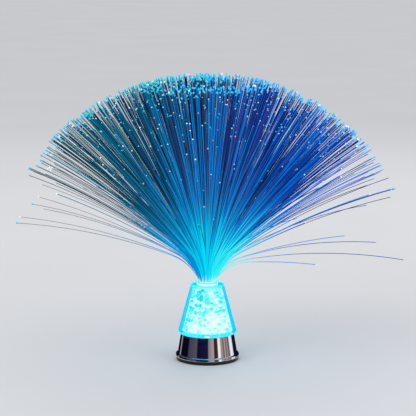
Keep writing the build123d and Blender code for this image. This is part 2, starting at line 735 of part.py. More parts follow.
def battery_cell(index):
    """A cell on its side, its nub against the plate at its head."""
    can = CELL_LENGTH - CELL_NUB_H
    made = Cylinder(CELL_R, can, align=UPRIGHT) + Pos(0, 0, can) * Cylinder(
        CELL_NUB_R, CELL_NUB_H, align=UPRIGHT
    )
    way = cell_way(index)
    tail = way * (BOX_HALF_X - CONTACT_T - CELL_LENGTH)
    return Pos(tail, cell_y(index), Z_CELL) * Rot(0, 90 * way, 0) * made


def plate_x(way):
    """The middle of the contact plates at one end of the box."""
    return way * (BOX_HALF_X - CONTACT_T / 2)


def red_tab_plan():
    """Where the positive terminal's tab comes up through the box roof."""
    return (plate_x(cell_way(0)), cell_y(0))


def black_tab_plan():
    """Where the negative terminal's tab comes up through the box roof."""
    last = CELL_COUNT - 1
    return (plate_x(-cell_way(last)), cell_y(last))


def contact_plates():
    """Two plates that join neighbours, and two terminals with tabs through the roof."""
    z_low = Z_CELL - CONTACT_HEIGHT / 2
    z_high = Z_CELL + CONTACT_HEIGHT / 2
    made = []
    for i in range(CELL_COUNT - 1):
        middle = (plate_x(-cell_way(i)), (cell_y(i) + cell_y(i + 1)) / 2)
        made.append(block(CONTACT_T, CELL_PITCH + CONTACT_WIDTH, z_low, z_high, middle))
    for plan in (red_tab_plan(), black_tab_plan()):
        plate = block(CONTACT_T, CONTACT_WIDTH, z_low, z_high, plan)
        tab = block(CONTACT_T, CONTACT_TAB_WIDTH, z_high, Z_TAB_TOP, plan)
        made.append(plate + tab)
    return Compound(made)


def contact_springs():
    """A coil under each cell's tail."""
    length = SPRING_ROOM - 2 * (SPRING_WIRE_R + RUNNING)
    line = Helix(pitch=length / SPRING_TURNS, height=length, radius=SPRING_R)
    start = Plane(origin=line @ 0, z_dir=line % 0)
    coil = sweep(start * Circle(SPRING_WIRE_R), path=line, is_frenet=True)
    print("spring, least gap between turns", round(length / SPRING_TURNS - 2 * SPRING_WIRE_R, 2))
    made = []
    for index in range(CELL_COUNT):
        way = cell_way(index)
        foot = -way * (BOX_HALF_X - CONTACT_T - SPRING_WIRE_R - RUNNING)
        made.append(Pos(foot, cell_y(index), Z_CELL) * Rot(0, 90 * way, 0) * coil)
    return Compound(made)


def battery_door():
    """Panel with a rounded hinge edge, two pins and a tongue for its screw."""
    panel = door_panel(0, Z_DOOR_TOP)
    hinge_edge = block(DOOR_T, 2 * DOOR_HALF_Y, Z_COVER, Z_DOOR_TOP, (DOOR_AXIS_X - DOOR_T / 2, 0))
    made = panel - hinge_edge
    barrel = Cylinder(DOOR_T / 2, 2 * DOOR_HALF_Y, rotation=(90, 0, 0))
    pins = Cylinder(DOOR_PIN_R, 2 * (DOOR_HALF_Y + DOOR_PIN_LENGTH), rotation=(90, 0, 0))
    made += Pos(DOOR_AXIS_X, 0, DOOR_AXIS_Z) * (barrel + pins)
    made -= rod(SCREW_HEAD_R + SLIP, Z_COVER - OVERRUN, Z_COVER + SCREW_HEAD_T, (DOOR_SCREW_X, 0))
    return made - drilled(Z_COVER, Z_DOOR_TOP + OVERRUN, (DOOR_SCREW_X, 0))


def door_screw():
    return screw(Z_COVER + SCREW_HEAD_T, DOOR_SCREW_LENGTH, (DOOR_SCREW_X, 0))


def power_button():
    """Round cap through the cover, with a flange that keeps it in and a stem into the switch."""
    at = (0, SWITCH_Y)
    made = rod(BUTTON_R, Z_COVER - BUTTON_PROUD, Z_SHELL, at)
    made += rod(BUTTON_FLANGE_R, Z_SHELL, Z_BUTTON_FLANGE, at)
    return made + rod(BUTTON_STEM_R, Z_BUTTON_FLANGE, Z_STEM_TOP, at)


def switch_body():
    """Latching switch, standing in its cage with a bore for the button's stem."""
    made = block(SWITCH_SIDE, SWITCH_SIDE, Z_SWITCH, Z_SWITCH_TOP, (0, SWITCH_Y))
    z_bore = Z_STEM_TOP + BUTTON_TRAVEL + LOOSE
    return made - rod(BUTTON_STEM_R + SLIP, Z_SWITCH - OVERRUN, z_bore, (0, SWITCH_Y))


def lead(points):
    """An insulated wire along straight runs joined by small arcs."""
    line = FilletPolyline(*points, radius=LEAD_BEND_R)
    start = Plane(origin=line @ 0, z_dir=line % 0)
    return sweep(start * Circle(LEAD_R), path=line)


def red_lead():
    """From the positive terminal to the board."""
    x, y = red_tab_plan()
    over = (RED_LEAD_X, y)
    return lead([(x, y, Z_TAB_TOP), (x, y, Z_LEADS), (*over, Z_LEADS), (*over, Z_BOARD)])


def black_lead():
    """From the negative terminal to the switch."""
    x, y = black_tab_plan()
    turns = [(*turn, Z_LEADS) for turn in BLACK_LEAD_TURNS]
    over = (-SWITCH_LEAD_X, SWITCH_Y)
    landing = [(*over, Z_LEADS), (*over, Z_SWITCH_TOP)]
    return lead([(x, y, Z_TAB_TOP), (x, y, Z_LEADS), *turns, *landing])


def switch_lead():
    """From the switch to the board."""
    over = (SWITCH_LEAD_X, SWITCH_Y)
    rise = [(*over, Z_SWITCH_TOP), (*over, Z_LEADS)]
    return lead([*rise, (*SWITCH_LEAD_LANDING, Z_LEADS), (*SWITCH_LEAD_LANDING, Z_BOARD)])


def all_parts():
    """Every node of the assembly, by name."""
    made = {
        "non_slip_ring": non_slip_ring(),
        "bottom_cover": bottom_cover(),
        "cover_screws": cover_screws(),
        "base_shell": base_shell(),
        "cone_base_plate": cone_base_plate(),
        "plate_screws": plate_screws(),
        "crystal_cone": crystal_cone(),
        "light_tube": light_tube(),
        "socket_collar": socket_collar(),
        "bundle_ferrule": bundle_ferrule(),
        "potted_bundle": potted_bundle(),
        "fibre_spray": fibre_spray(),
        "led_board": led_board(),
        "board_screws": board_screws(),
        "bundle_led": bundle_led(),
        "crystal_leds": crystal_leds(),
        "led_reflector": led_reflector(),
        "controller_chip": controller_chip(),
        "resistors": resistors(),
        "capacitor": capacitor(),
        "contact_plates": contact_plates(),
        "contact_springs": contact_springs(),
        "battery_door": battery_door(),
        "door_screw": door_screw(),
        "power_button": power_button(),
        "switch_body": switch_body(),
        "red_lead": red_lead(),
        "black_lead": black_lead(),
        "switch_lead": switch_lead(),
    }
    for band, name in enumerate(CHIP_BAND_START_SHARES):
        made["crystal_chips_" + name] = crystal_chips(band)
    for index in range(CELL_COUNT):
        made["battery_cell_" + str(index + 1)] = battery_cell(index)
    return made


os.makedirs("parts", exist_ok=True)
for node, shape in all_parts().items():
    export_step(shape, "parts/" + node + ".step")
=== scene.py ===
"""A fibre-optic night light, dressed over its CAD frame.

Metres, +Z up, the origin at the centre of the footprint on the table, and -Y towards the camera.
Each sub-assembly is a class that holds its sizes in millimetres, as the CAD does, and makes its pieces.
"""

import json
import logging
import math
import random
from dataclasses import dataclass, replace
from enum import Enum
from functools import cache
from typing import Any, Optional, Sequence, Union

import bmesh
import bpy
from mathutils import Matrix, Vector


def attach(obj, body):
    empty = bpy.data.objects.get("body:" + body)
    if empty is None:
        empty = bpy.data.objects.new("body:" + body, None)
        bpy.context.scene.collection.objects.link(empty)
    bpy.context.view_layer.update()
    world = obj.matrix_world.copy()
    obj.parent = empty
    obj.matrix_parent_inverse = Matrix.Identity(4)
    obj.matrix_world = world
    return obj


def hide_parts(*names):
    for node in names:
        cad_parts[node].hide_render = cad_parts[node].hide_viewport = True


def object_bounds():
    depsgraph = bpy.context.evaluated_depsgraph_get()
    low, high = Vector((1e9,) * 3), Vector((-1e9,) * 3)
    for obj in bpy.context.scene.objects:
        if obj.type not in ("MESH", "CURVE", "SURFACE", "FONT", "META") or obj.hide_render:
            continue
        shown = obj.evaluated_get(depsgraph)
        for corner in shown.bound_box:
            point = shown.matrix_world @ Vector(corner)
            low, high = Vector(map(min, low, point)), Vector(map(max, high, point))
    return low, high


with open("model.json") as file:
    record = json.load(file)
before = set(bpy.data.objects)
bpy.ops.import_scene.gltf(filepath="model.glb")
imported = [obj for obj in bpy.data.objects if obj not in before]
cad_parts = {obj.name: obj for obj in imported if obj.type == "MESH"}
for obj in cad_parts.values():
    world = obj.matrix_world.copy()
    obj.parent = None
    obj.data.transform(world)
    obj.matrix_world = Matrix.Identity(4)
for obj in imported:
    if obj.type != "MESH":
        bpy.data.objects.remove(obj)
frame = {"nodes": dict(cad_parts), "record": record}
cad_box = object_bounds()

MM = 0.001
GOLDEN_TURN = math.pi * (3 - math.sqrt(5))
ACRYLIC_IOR = 1.49
Colour = tuple[float, float, float, float]
Span = tuple[float, float]
Corner = tuple[float, float]
Triple = tuple[float, float, float]
Stops = Sequence[tuple[float, str]]
Inputs = dict[Union[str, int], Any]
Socket = bpy.types.NodeSocket
Tree = bpy.types.NodeTree
Piece = bpy.types.Object
log = logging.getLogger("night_light")


class Body(Enum):
    """The rigid bodies that new pieces ride on."""

    BASE = "base"
    HEAD = "fibre_head"


# small tools


def linear(hex_code: str) -> Colour:
    """Turn an sRGB hex colour into linear RGBA.

    Args:
        hex_code: Six hex digits after a hash, such as "#00C8FF".

    Returns:
        Red, green, blue and an alpha of 1, linear.
    """
    channels = [int(hex_code[i : i + 2], 16) / 255 for i in (1, 3, 5)]
    bent = [c / 12.92 if c <= 0.04045 else ((c + 0.055) / 1.055) ** 2.4 for c in channels]
    return (*bent, 1.0)


def per_mm(size_mm: float) -> float:
    """The texture scale at which one feature is this many millimetres."""
    return 1 / (size_mm * MM)


def add_node(
    tree: Tree,
    kind: str,
    inputs: Union[Inputs, Sequence[Any]] = (),
    out: Union[str, int] = 0,
    stops: Stops = (),
    **settings: Any,
) -> Optional[Socket]:
    """Add a node to a tree, set it up and link it.

    Args:
        tree: The node tree to add to.
        kind: The node's type name.
        inputs: Values, or sockets to link from: in the node's own order, or by input name or index.
        out: The output that is wanted, by name or index.
        stops: Position and hex colour of each stop of a colour ramp, in order.
        settings: Properties of the node itself.

    Returns:
        The output that is wanted, or nothing from a node without outputs.
    """
    node = tree.nodes.new(kind)
    for name, value in settings.items():
        setattr(node, name, value)
    for key, value in inputs.items() if isinstance(inputs, dict) else enumerate(inputs):
        if isinstance(value, Socket):
            tree.links.new(value, node.inputs[key])
        else:
            node.inputs[key].default_value = value
    if stops:
        elements = node.color_ramp.elements
        elements.remove(elements[1])
        elements[0].position = stops[0][0]
        elements[0].color = linear(stops[0][1])
        for position, code in stops[1:]:
            elements.new(position).color = linear(code)
    return node.outputs[out] if node.outputs else None


def link_object(name: str, data: Any) -> Piece:
    """Put a mesh, a lamp or a camera in the scene under a name.

    Args:
        name: The object's name.
        data: Its mesh, lamp or camera.

    Returns:
        The new object.
    """
    made = bpy.data.objects.new(name, data)
    bpy.context.scene.collection.objects.link(made)
    return made


def held_flat(profile: Sequence[Corner], long_mm: float = 3.0, hold_mm: float = 0.15) -> list[Corner]:
    """Add a corner near both ends of each long span, so that smooth shading leaves the span straight.

    Args:
        profile: A closed profile, in millimetres.
        long_mm: Spans shorter than this are left alone.
        hold_mm: How far from the ends the new corners lie.

    Returns:
        The profile with its new corners.
    """
    held = []
    for here, there in zip(profile, [*profile[1:], profile[0]]):
        held.append(here)
        span = math.dist(here, there)
        if span > long_mm and max(here[0], there[0]) > 0:
            for share in (hold_mm / span, 1 - hold_mm / span):
                held.append(tuple(a + (b - a) * share for a, b in zip(here, there)))
    return held


def lathe(name: str, profile: Sequence[Corner], segments: int = 160, sharp_deg: float = 32) -> Piece:
    """Turn a closed profile about the Z axis into a smooth-shaded solid.

    Args:
        name: The object's name.
        profile: Corners as radius and level in millimetres, anticlockwise with the axis on the left.
        segments: Steps round the axis.
        sharp_deg: Edges that turn more than this stay sharp.

    Returns:
        The new object.
    """
    shape = bmesh.new()
    rings = []
    for radius, level in held_flat(profile):
        turns = [2 * math.pi * i / segments for i in range(segments if radius else 1)]
        painted_spots = [(radius * MM * math.cos(t), radius * MM * math.sin(t), level * MM) for t in turns]
        rings.append([shape.verts.new(spot) for spot in painted_spots])
    for low, high in zip(rings, rings[1:] + rings[:1]):
        if len(low) == len(high) == 1:
            continue
        for i in range(segments):
            j = (i + 1) % segments
            corners = [low[i % len(low)], low[j % len(low)], high[j % len(high)], high[i % len(high)]]
            shape.faces.new(list(dict.fromkeys(corners)))
    bmesh.ops.recalc_face_normals(shape, faces=shape.faces)
    mesh = bpy.data.meshes.new(name)
    shape.to_mesh(mesh)
    shape.free()
    mesh.shade_smooth()
    mesh.set_sharp_from_angle(angle=math.radians(sharp_deg))
    return link_object(name, mesh)


def arc(centre: Corner, radius: float, start_deg: float, end_deg: float, steps: int = 6) -> list[Corner]:
    """Points of a rounded corner in a profile.

    Args:
        centre: The arc's centre, as radius and level in millimetres.
        radius: The arc's radius in millimetres.
        start_deg: Where it starts, 0 outwards and 90 upwards.
        end_deg: Where it ends.
        steps: How many spans it has.

    Returns:
        The points in order.
    """
    turns = [math.radians(start_deg + (end_deg - start_deg) * i / steps) for i in range(steps + 1)]
    return [(centre[0] + radius * math.cos(t), centre[1] + radius * math.sin(t)) for t in turns]


# finishes


@dataclass(frozen=True)
class Finish:
    """A surface with slight mottle, grain and uneven gloss, such as moulded or drawn stock."""

    name: str
    light: str = "#FFFFFF"
    dark: str = "#FFFFFF"
    roughness: float = 0.4
    gloss_spread: float = 0.08
    metallic: float = 0.0
    mottle_mm: float = 6.0
    # A real moulding's grain is about 0.1 mm. It is drawn coarser, so that a close view shows it
    grain_mm: float = 0.8
    grain_lift_mm: float = 0.02
    glow: float = 0.0
    clear: float = 0.0
    sheen: float = 0.3
    # How many finer layers the mottle and the grain have, and how strongly the grain turns the light
    mottle_detail: float = 3.0
    grain_detail: float = 2.0
    bump: float = 0.6
    # The mottle's levels at which the surface is darkest and lightest
    contrast: Span = (0.3, 0.7)
    # The size of the patches of gloss, as a share of the mottle's
    patch_share: float = 0.6

    @cache
    def material(self) -> bpy.types.Material:
        """Make the finish's material, once.

        Returns:
            A node material on object coordinates.
        """
        made = bpy.data.materials.new(self.name)
        made.use_nodes = True
        tree = made.node_tree
        tree.nodes.clear()
        skin = {"Metallic": self.metallic, "Roughness": self.roughness}
        skin |= self.surface(tree, add_node(tree, "ShaderNodeTexCoord", out="Object"))
        filled = {"Surface": add_node(tree, "ShaderNodeBsdfPrincipled", skin)} | self.inside(tree)
        add_node(tree, "ShaderNodeOutputMaterial", filled)
        return made

    def inside(self, tree: Tree) -> Inputs:
        """What fills the solid, as inputs of the output node. Most finishes fill it with nothing."""
        return {}

    def surface(self, tree: Tree, place: Socket) -> Inputs:
        """Make what the skin's shader reads.

        Args:
            tree: The material's nodes.
            place: The object coordinates.

        Returns:
            The shader's inputs.
        """
        patterns = (
            (self.mottle_mm, self.mottle_detail),
            (self.mottle_mm * self.patch_share, self.mottle_detail),
            (self.grain_mm, self.grain_detail),
        )
        mottle, patches, grain = (
            add_node(tree, "ShaderNodeTexNoise", {"Vector": place, "Scale": per_mm(size), "Detail": detail})
            for size, detail in patterns
        )
        stops = tuple(zip(self.contrast, (self.dark, self.light)))
        colour = add_node(tree, "ShaderNodeValToRGB", {"Fac": mottle}, stops=stops)
        low, high = (self.roughness + side * self.gloss_spread / 2 for side in (-1, 1))
        lift = {"Height": grain, "Distance": self.grain_lift_mm * MM, "Strength": self.bump}
        inputs = {
            "Base Color": colour,
            "Roughness": add_node(tree, "ShaderNodeMapRange", (patches, 0.0, 1.0, low, high)),
            "Normal": add_node(tree, "ShaderNodeBump", lift),
        }
        if self.glow:
            inputs |= {"Emission Color": colour, "Emission Strength": self.glow}
        if self.clear:
            inputs |= {"Transmission Weight": self.clear, "IOR": ACRYLIC_IOR}
        return inputs

    def lit(self, tree: Tree, colour: Socket, dim: str = "#B0B0B0") -> Inputs:
        """Make a skin whose own light makes up for what its dimmed colour takes from the room's.

        Args:
            tree: The material's nodes.
            colour: The colour that it shows.
            dim: What the colour is multiplied by for the room's light.

        Returns:
            The shader's inputs.
        """
        both = {0: 1.0, 6: colour, 7: linear(dim)}
        return {
            "Base Color": add_node(tree, "ShaderNodeMix", both, 2, data_type="RGBA", blend_type="MULTIPLY"),
            "IOR": ACRYLIC_IOR,
            "Specular IOR Level": self.sheen,
            "Emission Color": colour,
            "Emission Strength": self.glow,
        }


@dataclass(frozen=True)
class PlatedChrome(Finish):
    """Chrome plating over moulded ABS: a mirror with faint smears and the moulding's slow ripple."""

    mottle_detail: float = 5.0
    bump: float = 0.5
    smear_from: Span = (0.45, 0.8)
    ripple_mm: float = 9.0
    ripple_detail: float = 1.0

    def surface(self, tree: Tree, place: Socket) -> Inputs:
        """Make what the skin's shader reads.

        Args:
            tree: The material's nodes.
            place: The object coordinates.

        Returns:
            The shader's inputs.
        """
        patterns = ((self.mottle_mm, self.mottle_detail), (self.ripple_mm, self.ripple_detail))
        cloud, wave = (
            add_node(tree, "ShaderNodeTexNoise", {"Vector": place, "Scale": per_mm(size), "Detail": detail})
            for size, detail in patterns
        )
        smear = (cloud, *self.smear_from, self.roughness, self.roughness + self.gloss_spread)
        ripple = {"Height": wave, "Distance": self.grain_lift_mm * MM, "Strength": self.bump}
        return {
            "Base Color": linear(self.light),
            "Roughness": add_node(tree, "ShaderNodeMapRange", smear),
            "Normal": add_node(tree, "ShaderNodeBump", ripple),
        }


@dataclass(frozen=True)
class ClearAcrylic(Finish):
    """Clear cast acrylic, lit from within: clear face on, with a painted cyan tint and glow where the eye
    looks along a wall.
    """

    grain_detail: float = 1.0
    bump: float = 0.3
    tint: str = "#60F2FF"
    tint_density: float = 50.0
    lit_depth: float = 12.0
    # Painted edge light: where the eye looks along the wall, a painted blue line and then a painted cyan tint
    # and glow
    edge: str = "#00D0FF"
    painted_edge_line: str = "#0078FF"
    painted_edge_from: Span = (0.45, 0.61)
    glow_code: str = "#00C8F4"
    dim_code: str = "#001828"

    def surface(self, tree: Tree, place: Socket) -> Inputs:
        """Make what the skin's shader reads.

        Args:
            tree: The material's nodes.
            place: The object coordinates.

        Returns:
            The shader's inputs.
        """
        wave = {"Vector": place, "Scale": per_mm(self.grain_mm), "Detail": self.grain_detail}
        lift = {"Distance": self.grain_lift_mm * MM, "Strength": self.bump}
        lift["Height"] = add_node(tree, "ShaderNodeTexNoise", wave)
        slant = {"Fac": add_node(tree, "ShaderNodeLayerWeight", out="Facing")}
        low, high = self.painted_edge_from
        # Painted blue line and cyan tint where the view grazes the wall, and painted glow below
        painted_edge_stain = ((low, self.light), ((low + high) / 2, self.painted_edge_line), (high, self.edge))
        light = ((low, self.dim_code), (high, self.glow_code))
        return {
            "Base Color": add_node(tree, "ShaderNodeValToRGB", slant, stops=painted_edge_stain),
            "IOR": ACRYLIC_IOR,
            "Transmission Weight": 1.0,
            "Emission Color": add_node(tree, "ShaderNodeValToRGB", slant, stops=light),
            "Emission Strength": self.glow,
            "Normal": add_node(tree, "ShaderNodeBump", lift),
        }

    def inside(self, tree: Tree) -> Inputs:
        """Fill the wall with a tint and a light that both deepen along the ray.

        Args:
            tree: The material's nodes.

        Returns:
            The filling, as an input of the output node.
        """
        both = (
            add_node(tree, "ShaderNodeVolumeAbsorption", (linear(self.tint), self.tint_density)),
            add_node(tree, "ShaderNodeEmission", (linear(self.glow_code), self.lit_depth)),
        )
        return {"Volume": add_node(tree, "ShaderNodeAddShader", both)}


@dataclass(frozen=True)
class EdgeLitFloor(Finish):
    """The acrylic floor, lit from below: cyan, with a painted white highlight at its front and two more round
    it.
    """

    mottle_detail: float = 4.0
    contrast: Span = (0.38, 0.62)
    # Painted highlights: how many white spots round the rim, their colour, where on the turn and how low they
    # lie
    painted_spots: int = 3
    painted_spot_code: str = "#F8FFFF"
    painted_spot_wave: Span = (-0.93, -0.99)
    painted_spot_levels_mm: Span = (32.4, 31.9)
    dim: str = "#60B0B8"

    def surface(self, tree: Tree, place: Socket) -> Inputs:
        """Make what the skin's shader reads.

        Args:
            tree: The material's nodes.
            place: The object coordinates.

        Returns:
            The shader's inputs.
        """
        cloud = {"Vector": place, "Scale": per_mm(self.mottle_mm), "Detail": self.mottle_detail}
        cloud = {"Fac": add_node(tree, "ShaderNodeTexNoise", cloud)}
        stops = tuple(zip(self.contrast, (self.dark, self.light)))
        base = add_node(tree, "ShaderNodeValToRGB", cloud, stops=stops)
        # Painted highlight: white spots low on the edge, at the front and a third of a turn either side
        across, deep, level = add_node(tree, "ShaderNodeSeparateXYZ", (place,)).node.outputs
        wave = add_node(tree, "ShaderNodeMath", (across, deep), operation="ARCTAN2")
        wave = add_node(tree, "ShaderNodeMath", (wave, float(self.painted_spots)), operation="MULTIPLY")
        wave = add_node(tree, "ShaderNodeMath", (wave,), operation="COSINE")
        top, foot = (edge * MM for edge in self.painted_spot_levels_mm)
        both = (
            add_node(tree, "ShaderNodeMapRange", (wave, *self.painted_spot_wave)),
            add_node(tree, "ShaderNodeMapRange", (level, top, foot)),
        )
        spot = add_node(tree, "ShaderNodeMath", both, operation="MULTIPLY")
        mixed = {0: spot, 6: base, 7: linear(self.painted_spot_code)}
        shown = add_node(tree, "ShaderNodeMix", mixed, 2, data_type="RGBA")
        return self.lit(tree, shown, self.dim)


@dataclass(frozen=True)
class LitCrystal(Finish):
    """Broken acrylic chips over the lamps: near-white and cyan facets, with painted light on down-turned
    faces, low down and in pools.
    """

    mottle_detail: float = 4.0
    blob_mm: float = 8.0
    blob_detail: float = 1.0
    low_mm: float = 34.0
    high_mm: float = 84.0
    # Painted light: brightest low down near the lamps, darker towards the top
    painted_height_light: Span = (0.08, -0.24)
    # Painted light: faces turned this way, down and forward towards the lamps, are painted brighter
    painted_light_from: Triple = (0.35, -0.45, -0.8)
    # Painted pools where the floor throws the lamps' light up among the chips, as turns in degrees round a
    # ring
    glow_turns: Triple = (30.0, 150.0, 270.0)
    glow_ring_mm: float = 18.0
    glow_reach_mm: Span = (26.0, 8.0)
    # What a chip's own tone, the painted light by its facet's turn, fine cloud, coarse cloud and the painted
    # pools of light each count
    weights: tuple[float, ...] = (0.64, 0.3, 0.5, 0.3, 0.24)
    stops: Stops = (
        (0.3, "#00CCD0"),
        (0.44, "#18EAE0"),
        (0.58, "#68F8EA"),
        (0.73, "#BCFCF2"),
        (0.88, "#FFFFFF"),
    )
    dim: str = "#A0A8A8"

    def surface(self, tree: Tree, place: Socket) -> Inputs:
        """Make what the skin's shader reads.

        Args:
            tree: The material's nodes.
            place: The object coordinates.

        Returns:
            The shader's inputs.
        """
        normal = add_node(tree, "ShaderNodeNewGeometry", out="Normal")
        patterns = ((self.mottle_mm, self.mottle_detail), (self.blob_mm, self.blob_detail))
        clouds = (
            add_node(tree, "ShaderNodeTexNoise", {"Vector": place, "Scale": per_mm(size), "Detail": detail})
            for size, detail in patterns
        )
        # The chip's own tone and clouds, with painted light by facet turn and painted pools of light
        factors = (
            add_node(tree, "ShaderNodeAttribute", out="Fac", attribute_name="tone"),
            add_node(tree, "ShaderNodeVectorMath", (normal, self.painted_light_from), "Value", operation="DOT_PRODUCT"),
            *clouds,
            self.near_glow(tree, place),
        )
        # Painted light that fades from the floor upwards
        level = add_node(tree, "ShaderNodeSeparateXYZ", (place,), "Z")
        height = (level, self.low_mm * MM, self.high_mm * MM, *self.painted_height_light)
        total = add_node(tree, "ShaderNodeMapRange", height)
        for factor, weight in zip(factors, self.weights):
            total = add_node(tree, "ShaderNodeMath", (factor, weight, total), operation="MULTIPLY_ADD")
        shown = add_node(tree, "ShaderNodeValToRGB", {"Fac": total}, stops=self.stops)
        return self.lit(tree, shown, self.dim)

    def near_glow(self, tree: Tree, place: Socket) -> Socket:
        """How near a point is to a place where the floor throws the lamps' light up.

        Args:
            tree: The material's nodes.
            place: The object coordinates.

        Returns:
            A factor, 1 close to such a place and 0 out of its reach.
        """
        nearest = None
        for turn in (math.radians(degrees) for degrees in self.glow_turns):
            spot = Vector((math.cos(turn), math.sin(turn), 0)) * self.glow_ring_mm
            spot += Vector((0, 0, self.low_mm))
            away = add_node(tree, "ShaderNodeVectorMath", (place, spot * MM), "Value", operation="DISTANCE")
            if nearest:
                away = add_node(tree, "ShaderNodeMath", (nearest, away), operation="MINIMUM")
            nearest = away
        far, close = (reach * MM for reach in self.glow_reach_mm)
        return add_node(tree, "ShaderNodeMapRange", (nearest, far, close))


@dataclass(frozen=True)
class LitFibre(Finish):
    """Drawn acrylic fibre that leaks light: white-cyan at the root, then azure, slate or teal by side, some
    darkened by painted shade.
    """

    half_fan_mm: float = 170.0
    # How much each fibre's own tone shakes the place where the colours change from side to side
    side_shake: float = 0.45
    mid_shake: float = 0.2
    hot_shake: float = 0.1
    # Where along a fibre its root's colour gives way to the middle's, and that one to the far end's
    fade: Span = (-0.01, 0.23)
    far_fade: Span = (0.1, 0.5)
    tone_reach: float = -0.34
    # The tones between which a fibre starts to keep its middle's colour, and how much of it
    bright_from: Span = (0.72, 0.9)
    bright_share: float = 0.95
    root_stops: Stops = ((0.0, "#0070D4"), (1 / 3, "#00CCFA"), (2 / 3, "#00F8FF"), (1.0, "#50FFFF"))
    mid_stops: Stops = ((0.0, "#10889C"), (0.35, "#0C88B8"), (0.5, "#0898EC"), (1.0, "#0084FF"))
    side_stops: Stops = (
        (0.0, "#0A6872"),
        (0.28, "#106884"),
        (0.42, "#3A5088"),
        (0.55, "#3E4896"),
        (0.68, "#0C4EB8"),
        (1.0, "#045CCC"),
    )
    # Painted shade: each fibre is darkened by its own random share, as if it lay deeper in the fan
    painted_shade_stops: Stops = ((0.0, "#1C2444"), (0.25, "#6878A0"), (0.6, "#C0CAE0"), (0.9, "#FFFFFF"))
    bare_code: str = "#A09BA2"
    # The hottest stretch at the root, as a share of the length left and right of the middle
    hot_code: str = "#E4FFFF"
    hot_share: Span = (0.01, 0.045)
    hot_middle: Span = (0.48, 0.52)

    def surface(self, tree: Tree, place: Socket) -> Inputs:
        """Light the skin in its own tint."""
        return self.lit(tree, self.tint(tree, place))

    def side(self, tree: Tree, place: Socket, shake: float) -> Socket:
        """Where a point lies from the fan's left to its right, shaken by the fibre's own tone.

        Args:
            tree: The material's nodes.
            place: The object coordinates.
            shake: How much the tone shakes it.

        Returns:
            A factor from 0 to 1.
        """
        across = add_node(tree, "ShaderNodeSeparateXYZ", (place,), "X")
        reach = self.half_fan_mm * MM
        across = add_node(tree, "ShaderNodeMapRange", (across, -reach, reach, -shake / 2, 1 - shake / 2))
        tone = add_node(tree, "ShaderNodeAttribute", out="Fac", attribute_name="tone")
        return add_node(tree, "ShaderNodeMath", (tone, shake, across), operation="MULTIPLY_ADD")

    def tint(self, tree: Tree, place: Socket) -> Socket:
        """The fibre's colour at a point.

        Args:
            tree: The material's nodes.
            place: The object coordinates.

        Returns:
            The colour.
        """
        tone, painted_shade_depth, bare, glare, along = (
            add_node(tree, "ShaderNodeAttribute", out="Fac", attribute_name=name)
            for name in ("tone", "painted_shade_depth", "bare", "glare", "along")
        )
        scales = (
            (glare, self.root_stops),
            (self.side(tree, place, self.mid_shake), self.mid_stops),
            (self.side(tree, place, self.side_shake), self.side_stops),
            (painted_shade_depth, self.painted_shade_stops),
        )
        body, middle, far, shade = (
            add_node(tree, "ShaderNodeValToRGB", {"Fac": factor}, stops=stops) for factor, stops in scales
        )
        bright = add_node(tree, "ShaderNodeMapRange", (tone, *self.bright_from, 0.0, self.bright_share))
        layers = ((1.0, shade, "MULTIPLY"), (bright, middle, "MIX"), (bare, linear(self.bare_code), "MIX"))
        for factor, over, blend in layers:
            mixed = {0: factor, 6: far, 7: over}
            far = add_node(tree, "ShaderNodeMix", mixed, 2, data_type="RGBA", blend_type=blend)
        start = add_node(tree, "ShaderNodeMath", (tone, self.tone_reach, along), operation="MULTIPLY_ADD")
        for span, over in ((self.fade, middle), (self.far_fade, far)):
            fade = add_node(tree, "ShaderNodeMapRange", (start, *span), interpolation_type="SMOOTHSTEP")
            body = add_node(tree, "ShaderNodeMix", {0: fade, 6: body, 7: over}, 2, data_type="RGBA")
        reach = (self.side(tree, place, self.hot_shake), *self.hot_middle, *self.hot_share)
        hot = add_node(tree, "ShaderNodeMapRange", (along, add_node(tree, "ShaderNodeMapRange", reach), 0.0))
        mixed = {0: hot, 6: body, 7: linear(self.hot_code)}
        return add_node(tree, "ShaderNodeMix", mixed, 2, data_type="RGBA")


@dataclass(frozen=True)
class FibreEnd(LitFibre):
    """A cut fibre end, where the light comes out: teal to the left, azure to the right, some with a painted
    white glint.
    """

    side_shake: float = 0.4
    side_stops: Stops = (
        (0.0, "#38C0E8"),
        (0.2, "#28C8D8"),
        (0.4, "#20DCE0"),
        (0.52, "#20C4FF"),
        (0.75, "#30B8FF"),
        (1.0, "#78D8FF"),
    )
    white_from: float = 0.1
    white_stops: Stops = ((0.5, "#848CC8"), (0.75, "#C4D0F0"), (1.0, "#F4FCFF"))

    def tint(self, tree: Tree, place: Socket) -> Socket:
        """The end's colour.

        Args:
            tree: The material's nodes.
            place: The object coordinates.

        Returns:
            The colour.
        """
        white = add_node(tree, "ShaderNodeAttribute", out="Fac", attribute_name="white")
        scales = ((self.side(tree, place, self.side_shake), self.side_stops), (white, self.white_stops))
        cut, pale = (
            add_node(tree, "ShaderNodeValToRGB", {"Fac": factor}, stops=stops) for factor, stops in scales
        )
        there = add_node(tree, "ShaderNodeMath", (white, self.white_from), operation="GREATER_THAN")
        return add_node(tree, "ShaderNodeMix", {0: there, 6: cut, 7: pale}, 2, data_type="RGBA")


